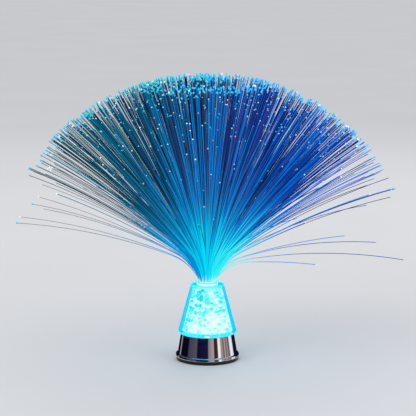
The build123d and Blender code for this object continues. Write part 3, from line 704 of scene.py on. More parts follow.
@dataclass(frozen=True)
class CellJacket(Finish):
    """Printed shrink film on a drawn can: a dark sleeve with a bright band at the positive end."""

    grain_detail: float = 3.0
    bump: float = 0.4
    way: int = 1
    half_cell_mm: float = 24.0
    # From the negative end: the bare can, the sleeve, its printed band and the cap, as shares
    edges: tuple[float, ...] = (0.09, 0.1, 0.66, 0.67, 0.965, 0.97)
    can: str = "#B9BCC0"
    band: tuple[str, str] = ("#B8792F", "#C88A3A")
    cap: str = "#D5D6D8"

    def surface(self, tree: Tree, place: Socket) -> Inputs:
        """Make what the skin's shader reads.

        Args:
            tree: The material's nodes.
            place: The object coordinates.

        Returns:
            The shader's inputs.
        """
        end = self.half_cell_mm * MM * self.way
        along = add_node(tree, "ShaderNodeSeparateXYZ", (place,), "X")
        along = add_node(tree, "ShaderNodeMapRange", (along, -end, end))
        prints = tuple(zip(self.edges, (self.can, self.dark, self.light, *self.band, self.cap)))
        grain = {"Vector": place, "Scale": per_mm(self.grain_mm), "Detail": self.grain_detail}
        lift = {"Distance": self.grain_lift_mm * MM, "Strength": self.bump}
        lift["Height"] = add_node(tree, "ShaderNodeTexNoise", grain)
        return {
            "Base Color": add_node(tree, "ShaderNodeValToRGB", {"Fac": along}, stops=prints),
            "Normal": add_node(tree, "ShaderNodeBump", lift),
        }


# A matt skin that scatters light, with a fine pebbled grain from the mould
RUBBER = Finish("moulded rubber", "#1B1B1C", "#111112", 0.72, 0.1, grain_mm=0.5, grain_lift_mm=0.05)
# A satin skin from an etched mould: soft, broad highlights over near black
BLACK_ABS = Finish("moulded black ABS", "#161617", "#0D0D0E", 0.42, 0.12, grain_mm=0.6, grain_lift_mm=0.03)
# A smooth, bright skin that throws the lamps' light back
WHITE_ABS = Finish("moulded white ABS", "#EDEFF0", "#E2E5E6", 0.3)
# A satin skin whose gloss wanders a little over the moulding
GREY_ABS = Finish("moulded grey ABS", "#4C4D50", "#3E3F42", 0.4, 0.1)
# A mirror: sharp bands of the room, faintly smeared and bent by the moulding under the plating
CHROME = PlatedChrome(
    "chrome plated ABS",
    light="#E6E7EA",
    roughness=0.035,
    gloss_spread=0.07,
    metallic=1.0,
    mottle_mm=11.0,
    grain_lift_mm=0.05,
)
# Smooth clear faces whose slow waves bend what lies behind, and walls that deepen to cyan, with a painted
# cyan tint and glow where they are seen edge-on
ACRYLIC = ClearAcrylic("clear cast acrylic", "#F2FDFF", roughness=0.02, grain_mm=12.0, glow=0.5)
# Sawn faces let the light out from below: an even cyan glow, with painted white highlight spots
FLOOR = EdgeLitFloor("sawn edge lit acrylic", "#60FCFF", "#00E4F8", 0.15, mottle_mm=3.0, glow=0.78)
# A blasted skin catches the light inside it and gives an even, milky glow
FROSTED = Finish("frosted turned acrylic", "#E8FFFF", "#B8F6FF", 0.3, mottle_mm=5.0, glow=0.6, clear=0.3)
# Turned from tinted rod and polished: a smooth cyan ring with light in it
TINTED = Finish("turned cyan acrylic", "#3CDCF8", "#18C4EE", 0.3, mottle_mm=4.0, glow=0.5, clear=0.3)
# Broken faces turn every way, so each chip is a patch of its own, from white to teal, with painted light on
# faces turned to the lamps, low down and in pools
CRYSTAL = LitCrystal("broken acrylic crystal", roughness=0.12, mottle_mm=2.6, glow=0.86)
# A smooth drawn skin that leaks light along its length, most at the root
FIBRE = LitFibre("drawn acrylic fibre", roughness=0.25, glow=0.55, sheen=0.12)
# A cut face lets the light out, as a dot that is brighter than its fibre
FIBRE_TIP = FibreEnd("cut acrylic fibre end", roughness=0.3, glow=0.75)
# Poured round the fibres and ground flat: a pale, even, cyan face
RESIN = Finish("poured clear resin", "#C8FAFF", "#7FE8FF", 0.2, 0.06, mottle_mm=3.0, glow=0.6)
# A grey gleam in small patches, brighter and duller, as bright zinc dries
STEEL = Finish("zinc plated steel", "#B4B6B9", "#9A9CA0", 0.28, 0.12, 1.0, mottle_mm=2.0, grain_mm=0.4)
# A warm, smooth gleam from rolled strip
NICKEL = Finish("nickel plated rolled strip", "#C9C6BD", "#B3AFA4", 0.24, 0.1, 1.0, mottle_mm=3.0)
# A soft, bright skin with the uneven gloss that the drawing die leaves
CAN = Finish("drawn aluminium can", "#BFC2C6", "#A6A9AE", 0.3, 0.1, 1.0)
# A glassy green coat that is thicker and darker in places
BOARD = Finish("screened green solder mask", "#12573A", "#0C4630", 0.3, 0.1, mottle_mm=1.6)
# A dull black skin with the fine grit of its filler
EPOXY = Finish("moulded black epoxy", "#1A1A1C", "#121214", 0.55, 0.1, grain_mm=0.3)
# A hard, dark glaze with small sharp highlights
CERAMIC = Finish("glazed ceramic", "#1C2638", "#141C2A", 0.25, 0.05, mottle_mm=1.0)
# A glossy dome that is full of its own light
LAMP = Finish("cast clear lamp epoxy", "#9FF4FF", "#43D8FF", 0.08, 0.03, mottle_mm=2.0, glow=0.9)
# Soft, smooth skins, a little uneven from the die
RED_PVC = Finish("extruded red PVC", "#A01818", "#8C1212", 0.45)
BLACK_PVC = Finish("extruded black PVC", "#1A1A1A", "#121212", 0.5)
# A glossy film over metal, whose printed colours change sharply from band to band
JACKETS = [
    CellJacket("printed shrink film " + word, "#1E4A34", "#16382A", 0.28, metallic=0.35, way=way)
    for word, way in (("to the right", 1), ("to the left", -1))
]
SLOT_FINISHES = {
    "ring_rubber": RUBBER,
    "black_plastic": BLACK_ABS,
    "screw_steel": STEEL,
    "plated_shell": CHROME,
    "clear_acrylic": ACRYLIC,
    "crystal_acrylic": CRYSTAL,
    "potting_resin": RESIN,
    "optical_fibre": FIBRE,
    "board_laminate": BOARD,
    "led_lens": LAMP,
    "white_plastic": WHITE_ABS,
    "chip_epoxy": EPOXY,
    "resistor_ceramic": CERAMIC,
    "capacitor_can": CAN,
    "contact_metal": NICKEL,
    "cell_jacket": JACKETS[0],
    "switch_plastic": GREY_ABS,
    "red_insulation": RED_PVC,
    "black_insulation": BLACK_PVC,
}


def dress(piece: Piece, body: Body, slot: str, finish: Finish, *replaced: str) -> None:
    """Give a piece its finish, its body and the CAD nodes that it stands for.

    Args:
        piece: The finished object.
        body: The body that it rides on.
        slot: The record's material slot. Not used.
        finish: Its finish.
        replaced: The CAD nodes that it stands for.
    """
    piece.data.materials.clear()
    piece.data.materials.append(finish.material())
    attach(piece, body.value)
    if replaced:
        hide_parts(*replaced)
    log.info("%s: %d faces", piece.name, len(piece.data.polygons))


# geometry node trees


class RepeatTree:
    """A geometry node tree with named inputs, whose result is baked into a plain mesh."""

    def __init__(self, name: str, inputs: dict[str, str]) -> None:
        """Start a tree.

        Args:
            name: The tree's name.
            inputs: Each input's name and socket kind, after the geometry that it works on.
        """
        self.tree = bpy.data.node_groups.new(name, "GeometryNodeTree")
        face = self.tree.interface
        face.new_socket("Geometry", in_out="INPUT", socket_type="NodeSocketGeometry")
        self.sockets = {
            label: face.new_socket(label, in_out="INPUT", socket_type="NodeSocket" + kind)
            for label, kind in (inputs | {"Material": "Material"}).items()
        }
        face.new_socket("Geometry", in_out="OUTPUT", socket_type="NodeSocketGeometry")
        self.given = add_node(self.tree, "NodeGroupInput").node.outputs

    def close(self, result: Socket) -> None:
        """End the tree in realised instances and one material.

        Args:
            result: The geometry so far.
        """
        solid = add_node(self.tree, "GeometryNodeRealizeInstances", (result,))
        dressed = {"Geometry": solid, "Material": self.given["Material"]}
        add_node(self.tree, "NodeGroupOutput", (add_node(self.tree, "GeometryNodeSetMaterial", dressed),))

    def bake(self, name: str, source: bpy.types.Mesh, values: dict[str, Any]) -> Piece:
        """Run the tree on a mesh.

        Args:
            name: The new piece's name.
            source: The points or paths that the tree works on.
            values: What each named input is set to.

        Returns:
            An object with the result as a plain mesh.
        """
        carrier = link_object(name + "_carrier", source)
        modifier = carrier.modifiers.new("Repeat", "NODES")
        modifier.node_group = self.tree
        for label, value in values.items():
            modifier[self.sockets[label].identifier] = value
        graph = bpy.context.evaluated_depsgraph_get()
        mesh = bpy.data.meshes.new_from_object(carrier.evaluated_get(graph), depsgraph=graph)
        carrier.modifiers.remove(modifier)
        bpy.data.objects.remove(carrier)
        mesh.name = name
        return link_object(name, mesh)


def point_mesh(
    name: str, points: Sequence[Vector], edges: Sequence[tuple[int, int]] = (), **values: Sequence[float]
) -> bpy.types.Mesh:
    """A mesh of bare points or paths with float attributes.

    Args:
        name: The mesh's name.
        points: Places in metres.
        edges: Pairs of point indices that join into paths.
        values: Attribute names and their value at each point.

    Returns:
        The mesh.
    """
    mesh = bpy.data.meshes.new(name)
    mesh.from_pydata([tuple(p) for p in points], list(edges), [])
    for label, numbers in values.items():
        mesh.attributes.new(label, "FLOAT", "POINT").data.foreach_set("value", list(numbers))
    return mesh


def sweep_tree() -> RepeatTree:
    """A tree that sweeps a thin tube along every path.

    Returns:
        The tree.
    """
    made = RepeatTree("tubes along paths", {"Tube radius": "Float", "Sides": "Int"})
    tree, given = made.tree, made.given
    circle = {"Resolution": given["Sides"], "Radius": given["Tube radius"]}
    tube = {
        "Curve": add_node(tree, "GeometryNodeMeshToCurve", (given["Geometry"],)),
        "Profile Curve": add_node(tree, "GeometryNodeCurvePrimitiveCircle", circle),
        "Scale": add_node(
            tree, "GeometryNodeInputNamedAttribute", {"Name": "girth"}, "Attribute", data_type="FLOAT"
        ),
        "Fill Caps": True,
    }
    tube = {"Geometry": add_node(tree, "GeometryNodeCurveToMesh", tube), "Shade Smooth": True}
    made.close(add_node(tree, "GeometryNodeSetShadeSmooth", tube))
    return made


def bead_tree(segments: int = 7, rings: int = 5) -> RepeatTree:
    """A tree that puts a small bead on every point, each of its own size.

    Args:
        segments: Steps round a bead.
        rings: Steps from its top to its bottom.

    Returns:
        The tree.
    """
    made = RepeatTree("beads on points", {"Bead radius": "Float"})
    tree, given = made.tree, made.given
    bead = {"Segments": segments, "Rings": rings, "Radius": given["Bead radius"]}
    bead = {"Geometry": add_node(tree, "GeometryNodeMeshUVSphere", bead), "Shade Smooth": True}
    placed = {
        "Points": given["Geometry"],
        "Instance": add_node(tree, "GeometryNodeSetShadeSmooth", bead),
        "Scale": add_node(
            tree, "GeometryNodeInputNamedAttribute", {"Name": "size"}, "Attribute", data_type="FLOAT"
        ),
    }
    made.close(add_node(tree, "GeometryNodeInstanceOnPoints", placed))
    return made


def chip_tree(whole_turn: float = 6.28, break_mm: float = 3.1) -> RepeatTree:
    """A tree that breaks a rough chip at every point and presses it inside a cone.

    Args:
        whole_turn: How far a chip may be turned about each axis, in radians.
        break_mm: The size of the noise that shifts a chip's corners.

    Returns:
        The tree.
    """
    sizes = ("Chip radius", "Size spread", "Break", "Foot radius")
    sizes += ("Foot level", "Roof level", "Tube radius", "Wall slope")
    made = RepeatTree("chips in a cone", dict.fromkeys(sizes, "Float") | {"Seed": "Int"})
    tree, given = made.tree, made.given
    turn = {1: (whole_turn, whole_turn, whole_turn), "Seed": given["Seed"]}
    size = {"Seed": given["Seed"]}
    for end, operation in enumerate(("SUBTRACT", "ADD")):
        size[end] = add_node(tree, "ShaderNodeMath", (1.0, given["Size spread"]), operation=operation)
    placed = {
        "Points": given["Geometry"],
        "Instance": add_node(
            tree, "GeometryNodeMeshIcoSphere", {"Subdivisions": 1, "Radius": given["Chip radius"]}
        ),
        "Rotation": add_node(tree, "FunctionNodeRandomValue", turn, data_type="FLOAT_VECTOR"),
        "Scale": add_node(tree, "FunctionNodeRandomValue", size, data_type="FLOAT_VECTOR"),
    }
    placed = add_node(tree, "GeometryNodeInstanceOnPoints", placed)
    # Noise shifts each corner, so that no two chips break alike
    place = add_node(tree, "GeometryNodeInputPosition")
    shift = {"Vector": place, "Scale": per_mm(break_mm), "Detail": 0.0}
    shift = (add_node(tree, "ShaderNodeTexNoise", shift, "Color"), (0.5, 0.5, 0.5))
    shift = {0: add_node(tree, "ShaderNodeVectorMath", shift, operation="SUBTRACT"), "Scale": given["Break"]}
    broken = {
        "Geometry": add_node(tree, "GeometryNodeRealizeInstances", (placed,)),
        "Offset": add_node(tree, "ShaderNodeVectorMath", shift, operation="SCALE"),
    }
    # Each corner is then pressed between the floor and the roof, and between the tube and the wall
    across, deep, level = add_node(tree, "ShaderNodeSeparateXYZ", (place,)).node.outputs
    flat = add_node(tree, "ShaderNodeCombineXYZ", (across, deep))
    reach = add_node(tree, "ShaderNodeVectorMath", (flat,), "Value", operation="LENGTH")
    foot = given["Foot level"]
    for operation, edge in (("MINIMUM", given["Roof level"]), ("SUBTRACT", foot), ("MAXIMUM", 0.0)):
        level = add_node(tree, "ShaderNodeMath", (level, edge), operation=operation)
    taper = add_node(tree, "ShaderNodeMath", (level, given["Wall slope"]), operation="MULTIPLY")
    wall = add_node(tree, "ShaderNodeMath", (given["Foot radius"], taper), operation="SUBTRACT")
    share = reach
    for operation, edge in (("MAXIMUM", given["Tube radius"]), ("MINIMUM", wall), ("DIVIDE", reach)):
        share = add_node(tree, "ShaderNodeMath", (share, edge), operation=operation)
    pressed = (
        add_node(tree, "ShaderNodeMath", (across, share), operation="MULTIPLY"),
        add_node(tree, "ShaderNodeMath", (deep, share), operation="MULTIPLY"),
        add_node(tree, "ShaderNodeMath", (level, foot), operation="ADD"),
    )
    held = {
        "Geometry": add_node(tree, "GeometryNodeSetPosition", broken),
        "Position": add_node(tree, "ShaderNodeCombineXYZ", pressed),
    }
    faceted = {"Geometry": add_node(tree, "GeometryNodeSetPosition", held), "Shade Smooth": False}
    made.close(add_node(tree, "GeometryNodeSetShadeSmooth", faceted))
    return made


# sub-assemblies


@dataclass
class BaseUnit:
    """The plated shell and the rubber ring under it. Sizes in millimetres."""

    ring_r: float = 34.6
    ring_width: float = 2.6
    ring_t: float = 1.5
    ring_round: float = 0.3
    ring_ease: float = 0.2
    groove: float = 0.35
    # Where the two grooves start, from the ring's inside, and their corners, in parts of its width
    ring_parts: int = 7
    groove_starts: tuple[int, ...] = (1, 4)
    groove_corners: tuple[float, ...] = (0, 0.25, 1.2, 1.45)
    foot_r: float = 35.6
    foot_low: float = 4.0
    foot_lip: float = 0.3
    foot_round: float = 0.8
    band_h: float = 2.0
    waist_r: float = 33.3
    top_r: float = 29.8
    top: float = 30.5
    deck_t: float = 2.0
    deck_round: float = 1.2
    hole_r: float = 13.0
    wall: float = 1.8

    def ring(self) -> Piece:
        """Build the rubber ring, with two grooves in its underside.

        Returns:
            The ring.
        """
        inner = self.ring_r - self.ring_width
        step = self.ring_width / self.ring_parts
        foot = [
            (inner + step * (start + corner), height)
            for start in self.groove_starts
            for corner, height in zip(self.groove_corners, (0, self.groove, self.groove, 0))
        ]
        edge = (self.ring_r - self.ring_round, self.ring_round)
        profile = [
            (inner, self.ring_t),
            (inner, self.ring_ease),
            (inner + self.ring_ease, 0),
            *foot,
            (edge[0], 0),
            *arc(edge, self.ring_round, -60, 0, 3),
            (self.ring_r, self.ring_t),
        ]
        return lathe("non_slip_ring_rubber", profile, 128)

    def shell(self) -> Piece:
        """Build the plated cup: rounded foot, hollow flare, tapering body and deck.

        Returns:
            The shell.
        """
        band = self.foot_low + self.band_h
        brow = self.foot_r - self.foot_round
        flare = brow - self.waist_r
        waist = band + self.foot_round + flare
        under = self.top - self.deck_t
        lip = self.foot_r - self.foot_lip
        profile = [
            (self.foot_r - self.wall, self.foot_low),
            (lip, self.foot_low),
            *arc((lip, self.foot_low + self.foot_lip), self.foot_lip, -70, 0, 3),
            *arc((brow, band), self.foot_round, 0, 90, 8),
            *arc((brow, waist), flare, -100, -180, 10),
            *arc((self.top_r - self.deck_round, self.top - self.deck_round), self.deck_round, 9, 90, 8),
            (self.hole_r, self.top),
            (self.hole_r, under),
            (self.top_r - self.wall, under),
            (self.waist_r - self.wall, waist),
            (self.foot_r - self.wall, band),
        ]
        return lathe("base_shell_chrome", profile, 256, 40)

    def make(self) -> None:
        """Build and dress the base's turned pieces."""
        dress(self.ring(), Body.BASE, "ring_rubber", RUBBER, "non_slip_ring")
        dress(self.shell(), Body.BASE, "plated_shell", CHROME, "base_shell")


@dataclass
class CrystalCone:
    """The thick clear cone, its floor, its collar and the lit chips in it. Sizes in millimetres."""

    low: float = 30.5
    height: float = 55.5
    foot_r: float = 33.2
    top_r: float = 18.3
    wall: float = 3.2
    roof: float = 3.0
    roof_ease: float = 0.8
    rim_round: float = 1.3
    top_round: float = 1.6
    floor_t: float = 3.7
    floor_r: float = 29.9
    floor_ease: float = 0.4
    slip: float = 0.1
    socket_r: float = 11.0
    tube_wall: float = 1.1
    collar_r_in: float = 10.05
    collar_r: float = 10.9
    collar_flange_r: float = 12.0
    collar_flange_t: float = 1.2
    collar_neck: float = 9.0
    collar_ease: float = 0.45
    chip_r: float = 2.5
    chip_pitch: float = 4.2
    layer_share: float = 0.8
    chip_spread: float = 0.22
    chip_break: float = 2.2
    # How far the chips' centres keep from floor and roof, and from walls, as shares of their radius
    chip_rest: float = 0.7
    chip_lean: float = 0.5
    # How far a chip is shaken: as a share of its pitch round the axis, then in millimetres
    turn_shake: float = 0.25
    reach_shake: float = 0.4
    level_shake: float = 0.8
    chip_slack: float = 0.25
    floor_gap: float = 0.05
    chip_gap: float = 0.1
    chip_seed: int = 5

    @property
    def top(self) -> float:
        """The level of the cone's top."""
        return self.low + self.height

    @property
    def deck(self) -> float:
        """The level of the floor's upper face."""
        return self.low + self.floor_t

    @property
    def ceiling(self) -> float:
        """The level of the roof's lower face."""
        return self.low + self.height - self.roof

    def outside(self, level: float) -> float:
        """The cone's outer radius at a level."""
        return self.foot_r + (self.top_r - self.foot_r) * (level - self.low) / self.height

    def inside(self, level: float) -> float:
        """The cone's inner radius at a level."""
        return self.outside(level) - self.wall

    def shell(self) -> Piece:
        """Build the clear thick-walled cone.

        Returns:
            The cone.
        """
        lean = math.degrees(math.atan2(self.foot_r - self.top_r, self.height))
        rounds = []
        for level, size, start, end in (
            (self.low + self.rim_round, self.rim_round, -90, lean),
            (self.top - self.top_round, self.top_round, lean, 90),
        ):
            centre = self.outside(level) - size / math.cos(math.radians(lean))
            rounds += arc((centre, level), size, start, end, 8)
        mouth = self.floor_r + self.slip
        profile = [
            (mouth, self.low),
            *rounds,
            (self.socket_r, self.top),
            (self.socket_r, self.ceiling),
            (self.inside(self.ceiling) - self.roof_ease, self.ceiling),
            (self.inside(self.ceiling - self.roof_ease), self.ceiling - self.roof_ease),
            (self.inside(self.deck), self.deck),
            (mouth, self.deck),
        ]
        return lathe("crystal_cone_clear", profile, 256, 40)

    def floor_plate(self) -> Piece:
        """Build the clear floor, with its edges eased.

        Returns:
            The floor.
        """
        profile = [
            (0, self.low),
            (self.floor_r - self.floor_ease, self.low),
            (self.floor_r, self.low + self.floor_ease),
            (self.floor_r, self.deck - self.floor_ease),
            (self.floor_r - self.floor_ease, self.deck),
            (0, self.deck),
        ]
        return lathe("cone_floor_clear", profile)

    def light_tube(self) -> Piece:
        """Build the clear tube between the potted rod and the chips.

        Returns:
            The tube.
        """
        low, high = self.deck, self.ceiling
        outer = self.socket_r + self.tube_wall
        walls = [(self.socket_r, low), (outer, low), (outer, high), (self.socket_r, high)]
        return lathe("light_tube_clear", walls, 96)

    def collar(self) -> Piece:
        """Build the ring in the cone's roof, with a rounded flange.

        Returns:
            The collar.
        """
        high = self.top + self.collar_flange_t
        neck = self.top - self.collar_neck
        brow = (self.collar_flange_r - self.collar_ease, high - self.collar_ease)
        profile = [
            (self.collar_r_in, neck),
            (self.collar_r, neck),
            (self.collar_r, self.top),
            (self.collar_flange_r, self.top),
            *arc(brow, self.collar_ease, 0, 90, 5),
            (self.collar_r_in, high),
        ]
        return lathe("socket_collar_lit", profile)

    def chip_points(self) -> tuple[list[Vector], list[float]]:
        """Where the chips lie: shaken rings from the wall inwards, layer on layer.

        Returns:
            The places in metres and a tone for each.
        """
        chance = random.Random(self.chip_seed)
        low = self.deck + self.chip_r * self.chip_rest
        high = self.ceiling - self.chip_r * self.chip_rest
        layers = round((high - low) / (self.chip_pitch * self.layer_share))
        tube = self.socket_r + self.tube_wall + self.chip_r * self.chip_lean
        points, tones = [], []
        for k in range(layers + 1):
            level = low + (high - low) * k / layers
            outer = self.inside(level) - self.chip_slack - self.chip_r * self.chip_lean
            rows = max(1, round((outer - tube) / self.chip_pitch) + 1)
            for row in range(rows):
                reach = outer - (outer - tube) * row / max(1, rows - 1)
                count = round(2 * math.pi * reach / self.chip_pitch)
                start = chance.uniform(0, 2 * math.pi)
                for i in range(count):
                    shake = chance.uniform(-self.turn_shake, self.turn_shake)
                    turn = start + 2 * math.pi * (i + shake) / count
                    r = reach + chance.uniform(-self.reach_shake, self.reach_shake)
                    z = level + chance.uniform(-self.level_shake, self.level_shake)
                    points.append(Vector((r * math.cos(turn), r * math.sin(turn), z)) * MM)
                    tones.append(chance.random())
        return points, tones

    def chips(self) -> Piece:
        """Build the lit chips, each broken differently and pressed against the wall.

        Returns:
            One object with every chip.
        """
        points, tones = self.chip_points()
        floor = self.deck + self.floor_gap
        values = {
            "Chip radius": self.chip_r * MM,
            "Size spread": self.chip_spread,
            "Break": self.chip_break * MM,
            "Foot radius": (self.inside(floor) - self.chip_slack) * MM,
            "Foot level": floor * MM,
            "Roof level": (self.ceiling - self.chip_gap) * MM,
            "Tube radius": (self.socket_r + self.tube_wall + self.chip_gap) * MM,
            "Wall slope": (self.foot_r - self.top_r) / self.height,
            "Seed": self.chip_seed,
            "Material": CRYSTAL.material(),
        }
        return chip_tree().bake("crystal_chips_lit", point_mesh("chip_points", points, tone=tones), values)

    def make(self) -> None:
        """Build and dress the cone and what is in it."""
        dress(self.shell(), Body.BASE, "clear_acrylic", ACRYLIC, "crystal_cone")
        dress(self.floor_plate(), Body.BASE, "clear_acrylic", FLOOR, "cone_base_plate")
        dress(self.light_tube(), Body.BASE, "clear_acrylic", ACRYLIC, "light_tube")
        dress(self.collar(), Body.BASE, "clear_acrylic", FROSTED, "socket_collar")
        bands = ["crystal_chips_" + band for band in ("lower", "middle", "upper")]
        dress(self.chips(), Body.BASE, "crystal_acrylic", CRYSTAL, *bands)


class Streak(Enum):
    """How a strand that stands out looks: its tone, and how bare of light it is."""

    BARE = (0.5, 1.0)
    BRIGHT = (1.0, 0.0)


@dataclass(frozen=True)
class Strand:
    """A few fibres that lie together and stand out. Angles in degrees, length as a share of the full one."""

    side: int
    lean: float
    share: float
    count: int
    streak: Streak


@dataclass(frozen=True)
class Lay:
    """How one fibre lies.

    Its root's radius and its length are in millimetres, its azimuth and its azimuth's drift along the
    full length in radians, and the lean of its tip, at the full length, in degrees.
    """

    root_r: float
    azimuth: float
    lean: float
    drift: float
    length: float


@dataclass
class Fibre:
    """One fibre's path, in metres, and the numbers that its colour reads."""

    path: list[Vector]
    numbers: dict[str, float]


@dataclass
class FibreHead:
    """The ferrule, the potted rod and the fan of fibres. Sizes in millimetres, angles in degrees."""

    mouth: float = 88.4
    backing_t: float = 1.0
    potted_r: float = 9.2
    potted_length: float = 28.0
    potted_ease: float = 0.3
    dome: Corner = (0.5, 0.1)
    ferrule_r_in: float = 9.25
    ferrule_r: float = 10.0
    ferrule_flange_r: float = 10.9
    ferrule_flange_t: float = 1.2
    ferrule_length: float = 22.0
    ferrule_ease: float = 0.4
    ferrule_chamfer: float = 0.2
    ferrule_lead: float = 0.3
    fibre_r: float = 0.35
    root_girth: float = 0.66
    girth_arc: float = 40.0
    fibre_sides: int = 6
    pitch: float = 0.79
    rings: int = 11
    first_ring: int = 6
    # The finer fibres between the rings: how many, and which shares make the crown and the brow
    extra: int = 1380
    extra_reach: float = 0.96
    extra_shares: Span = (0.27, 0.6)
    extra_squeeze: float = 0.5
    side_pull: float = 0.42
    right_reach: float = 1.2
    crown_ring: Span = (20.5, 2.6)
    crown_gap: float = 5.0
    brow_top: float = 3.5
    brow_crowding: float = 1.15
    thin_brow: float = 0.1
    thin_top: float = 3.0
    drifts: Span = (0.02, 0.07)
    length: float = 233.0
    length_spread: float = 0.035
    short_share: float = 0.08
    short_lengths: Span = (0.5, 0.9)
    # A fibre's lean grows from its root over the knee to its tip
    root_arc: float = 46.0
    start_share: float = 0.28
    knee_share: float = 0.8
    crown_lean: float = 51.0
    brow_lean: Span = (54.0, 65.0)
    skirt_lean: Span = (66.5, 97.0)
    skirt_droop: float = 9.0
    least_lean: float = 1.5
    lean_jitter: float = 0.38
    squeeze_front: float = 0.2
    squeeze_back: float = 0.34
    steps: int = 22
    crowding: float = 1.35
    seed: int = 11
    bead_r: float = 1.05
    bead_room: float = 1.4
    bead_spread: Span = (0.75, 1.25)
    cut_step: float = 0.99
    # Where a root's colour starts on its scale, how far it moves from side to side, and its scatter
    glare: tuple[float, float, float] = (0.54, 0.42, 0.3)
    bare_chance: float = 0.55
    bare_share: float = 0.8
    # The chance that an end gets a painted white glint, and its size: cut short, near the front, and
    # elsewhere
    short_below: float = 0.92
    front: Corner = (3.0, -0.35)
    short_end: Span = (0.7, 0.54)
    painted_glint_front_end: Span = (0.5, 0.6)
    far_end: Span = (0.12, 1.0)
    white_least: float = 0.5
    groups: tuple[str, ...] = ("inner", "middle", "outer")
    strands: tuple[Strand, ...] = (
        Strand(-1, 63.3, 0.93, 5, Streak.BARE), Strand(-1, 59.9, 0.95, 1, Streak.BARE),
        Strand(-1, 74.2, 0.91, 1, Streak.BARE), Strand(-1, 83.7, 0.95, 1, Streak.BARE),
        Strand(-1, 70.9, 0.83, 2, Streak.BRIGHT), Strand(-1, 66.0, 0.41, 2, Streak.BRIGHT),
        Strand(1, 49.7, 0.82, 5, Streak.BRIGHT), Strand(1, 45.5, 0.69, 3, Streak.BRIGHT),
        Strand(1, 61.0, 0.82, 3, Streak.BRIGHT), Strand(1, 72.7, 0.88, 1, Streak.BRIGHT),
        Strand(1, 108.0, 0.54, 1, Streak.BRIGHT), Strand(1, 74.9, 0.54, 1, Streak.BRIGHT),
        Strand(1, 57.0, 0.41, 1, Streak.BRIGHT),
    )
    strand_spread: float = 0.9
    strand_front: float = 6.0
    strand_fan: float = 4.0
    strand_cut: float = 0.02
    strand_end: float = 0.8

    def strand(self, strand: Strand, look: random.Random) -> list[Fibre]:
        """Make a few fibres that lie together at one side, in front of the fan.

        Args:
            strand: Where they lie and how they look.
            look: The source of their scatter.

        Returns:
            The fibres.
        """
        made = []
        side = 0 if strand.side > 0 else math.pi
        tone, bare = strand.streak.value
        for _ in range(strand.count):
            forward = self.strand_front + look.uniform(0, self.strand_spread) * self.strand_fan
            azimuth = side - strand.side * math.radians(forward)
            lean = strand.lean + look.uniform(-1, 1) * self.strand_spread
            length = self.length * (strand.share - self.strand_cut * look.random())
            root_r = self.rings * self.pitch * self.extra_reach
            fibre = self.fibre(Lay(root_r, azimuth, lean, 0, length), look)
            # The strands in front of the fan get no painted shade
            fibre.numbers |= {"tone": tone, "bare": bare, "white": 1.0, "size": self.strand_end, "painted_shade_depth": 1.0}
            made.append(fibre)
        return made

    def squeezed(self, lean: float, azimuth: float) -> float:
        """Draw a lean in towards the front and the back, where the fan is narrower.

        Args:
            lean: The lean in degrees.
            azimuth: Its direction in radians.

        Returns:
            The lean in degrees, and never less than the least.
        """
        to_back = math.sin(azimuth)
        squeeze = self.squeeze_back if to_back > 0 else self.squeeze_front
        return max(self.least_lean, lean * (1 - squeeze * to_back**2))

    def ring_lean(self, ring: int, azimuth: float, chance: random.Random) -> float:
        """How far a tip leans, where its root stands in a ring.

        Args:
            ring: The root's ring, from 1.
            azimuth: Its direction in radians.
            chance: The source of scatter.

        Returns:
            The lean in degrees.
        """
        draw = chance.uniform(-1, 1)
        if ring < self.rings - 1:
            lean = self.crown_lean * (ring + draw * self.lean_jitter) / (self.rings - 2)
        elif ring < self.rings:
            lean = self.brow_lean[0] + (self.brow_lean[1] - self.brow_lean[0]) * abs(draw)
        else:
            most = self.skirt_lean[1] + self.skirt_droop * math.cos(azimuth)
            lean = self.skirt_lean[0] + (most - self.skirt_lean[0]) * draw**2
        return self.squeezed(lean, azimuth)

    def cut_length(self, chance: random.Random) -> float:
        """Choose a fibre's free length. A few have broken off short.

        Args:
            chance: The source of scatter.

        Returns:
            The length in millimetres.
        """
        share = 1 - self.length_spread * chance.random() ** 2
        if chance.random() < self.short_share:
            share = chance.uniform(*self.short_lengths)
        return self.length * share

    def bend_share(self, s: float) -> float:
        """How much of its lean a fibre has at a distance from its root.

        Args:
            s: The distance in millimetres.

        Returns:
            From the share it starts with to 1 at full length.
        """
        if s < self.root_arc:
            return self.start_share + (self.knee_share - self.start_share) * s / self.root_arc
        rest = (s - self.root_arc) / (self.length - self.root_arc)
        return self.knee_share + (1 - self.knee_share) * rest

    def trace(self, lay: Lay) -> list[Vector]:
        """Follow one fibre from its root.

        Args:
            lay: How the fibre lies.

        Returns:
            Its points in millimetres, the first one in the resin.
        """
        out = Vector((math.cos(lay.azimuth), math.sin(lay.azimuth), 0))
        start = math.radians(lay.lean) * self.start_share
        point = out * lay.root_r + Vector((0, 0, self.mouth))
        path = [point - (out * math.sin(start) + Vector((0, 0, math.cos(start)))) * self.backing_t / 2]
        stations = [lay.length * (i / self.steps) ** self.crowding for i in range(self.steps + 1)]
        path.append(point.copy())
        for before, after in zip(stations, stations[1:]):
            s = (before + after) / 2
            turn = math.radians(lay.lean) * self.bend_share(s)
            way = lay.azimuth + lay.drift * s / self.length
            ahead = Vector((math.sin(turn) * math.cos(way), math.sin(turn) * math.sin(way), math.cos(turn)))
            point += ahead * (after - before)
            path.append(point.copy())
        return path

    def fits(self, point: Vector) -> bool:
        """Whether a point in millimetres, with its bead, lies in the CAD model's box.

        Args:
            point: The point.

        Returns:
            True where it does.
        """
        low, high = cad_box
        edge = self.bead_r * self.bead_room * MM
        return all(a + edge <= v * MM <= b - edge for a, v, b in zip(low, point, high))

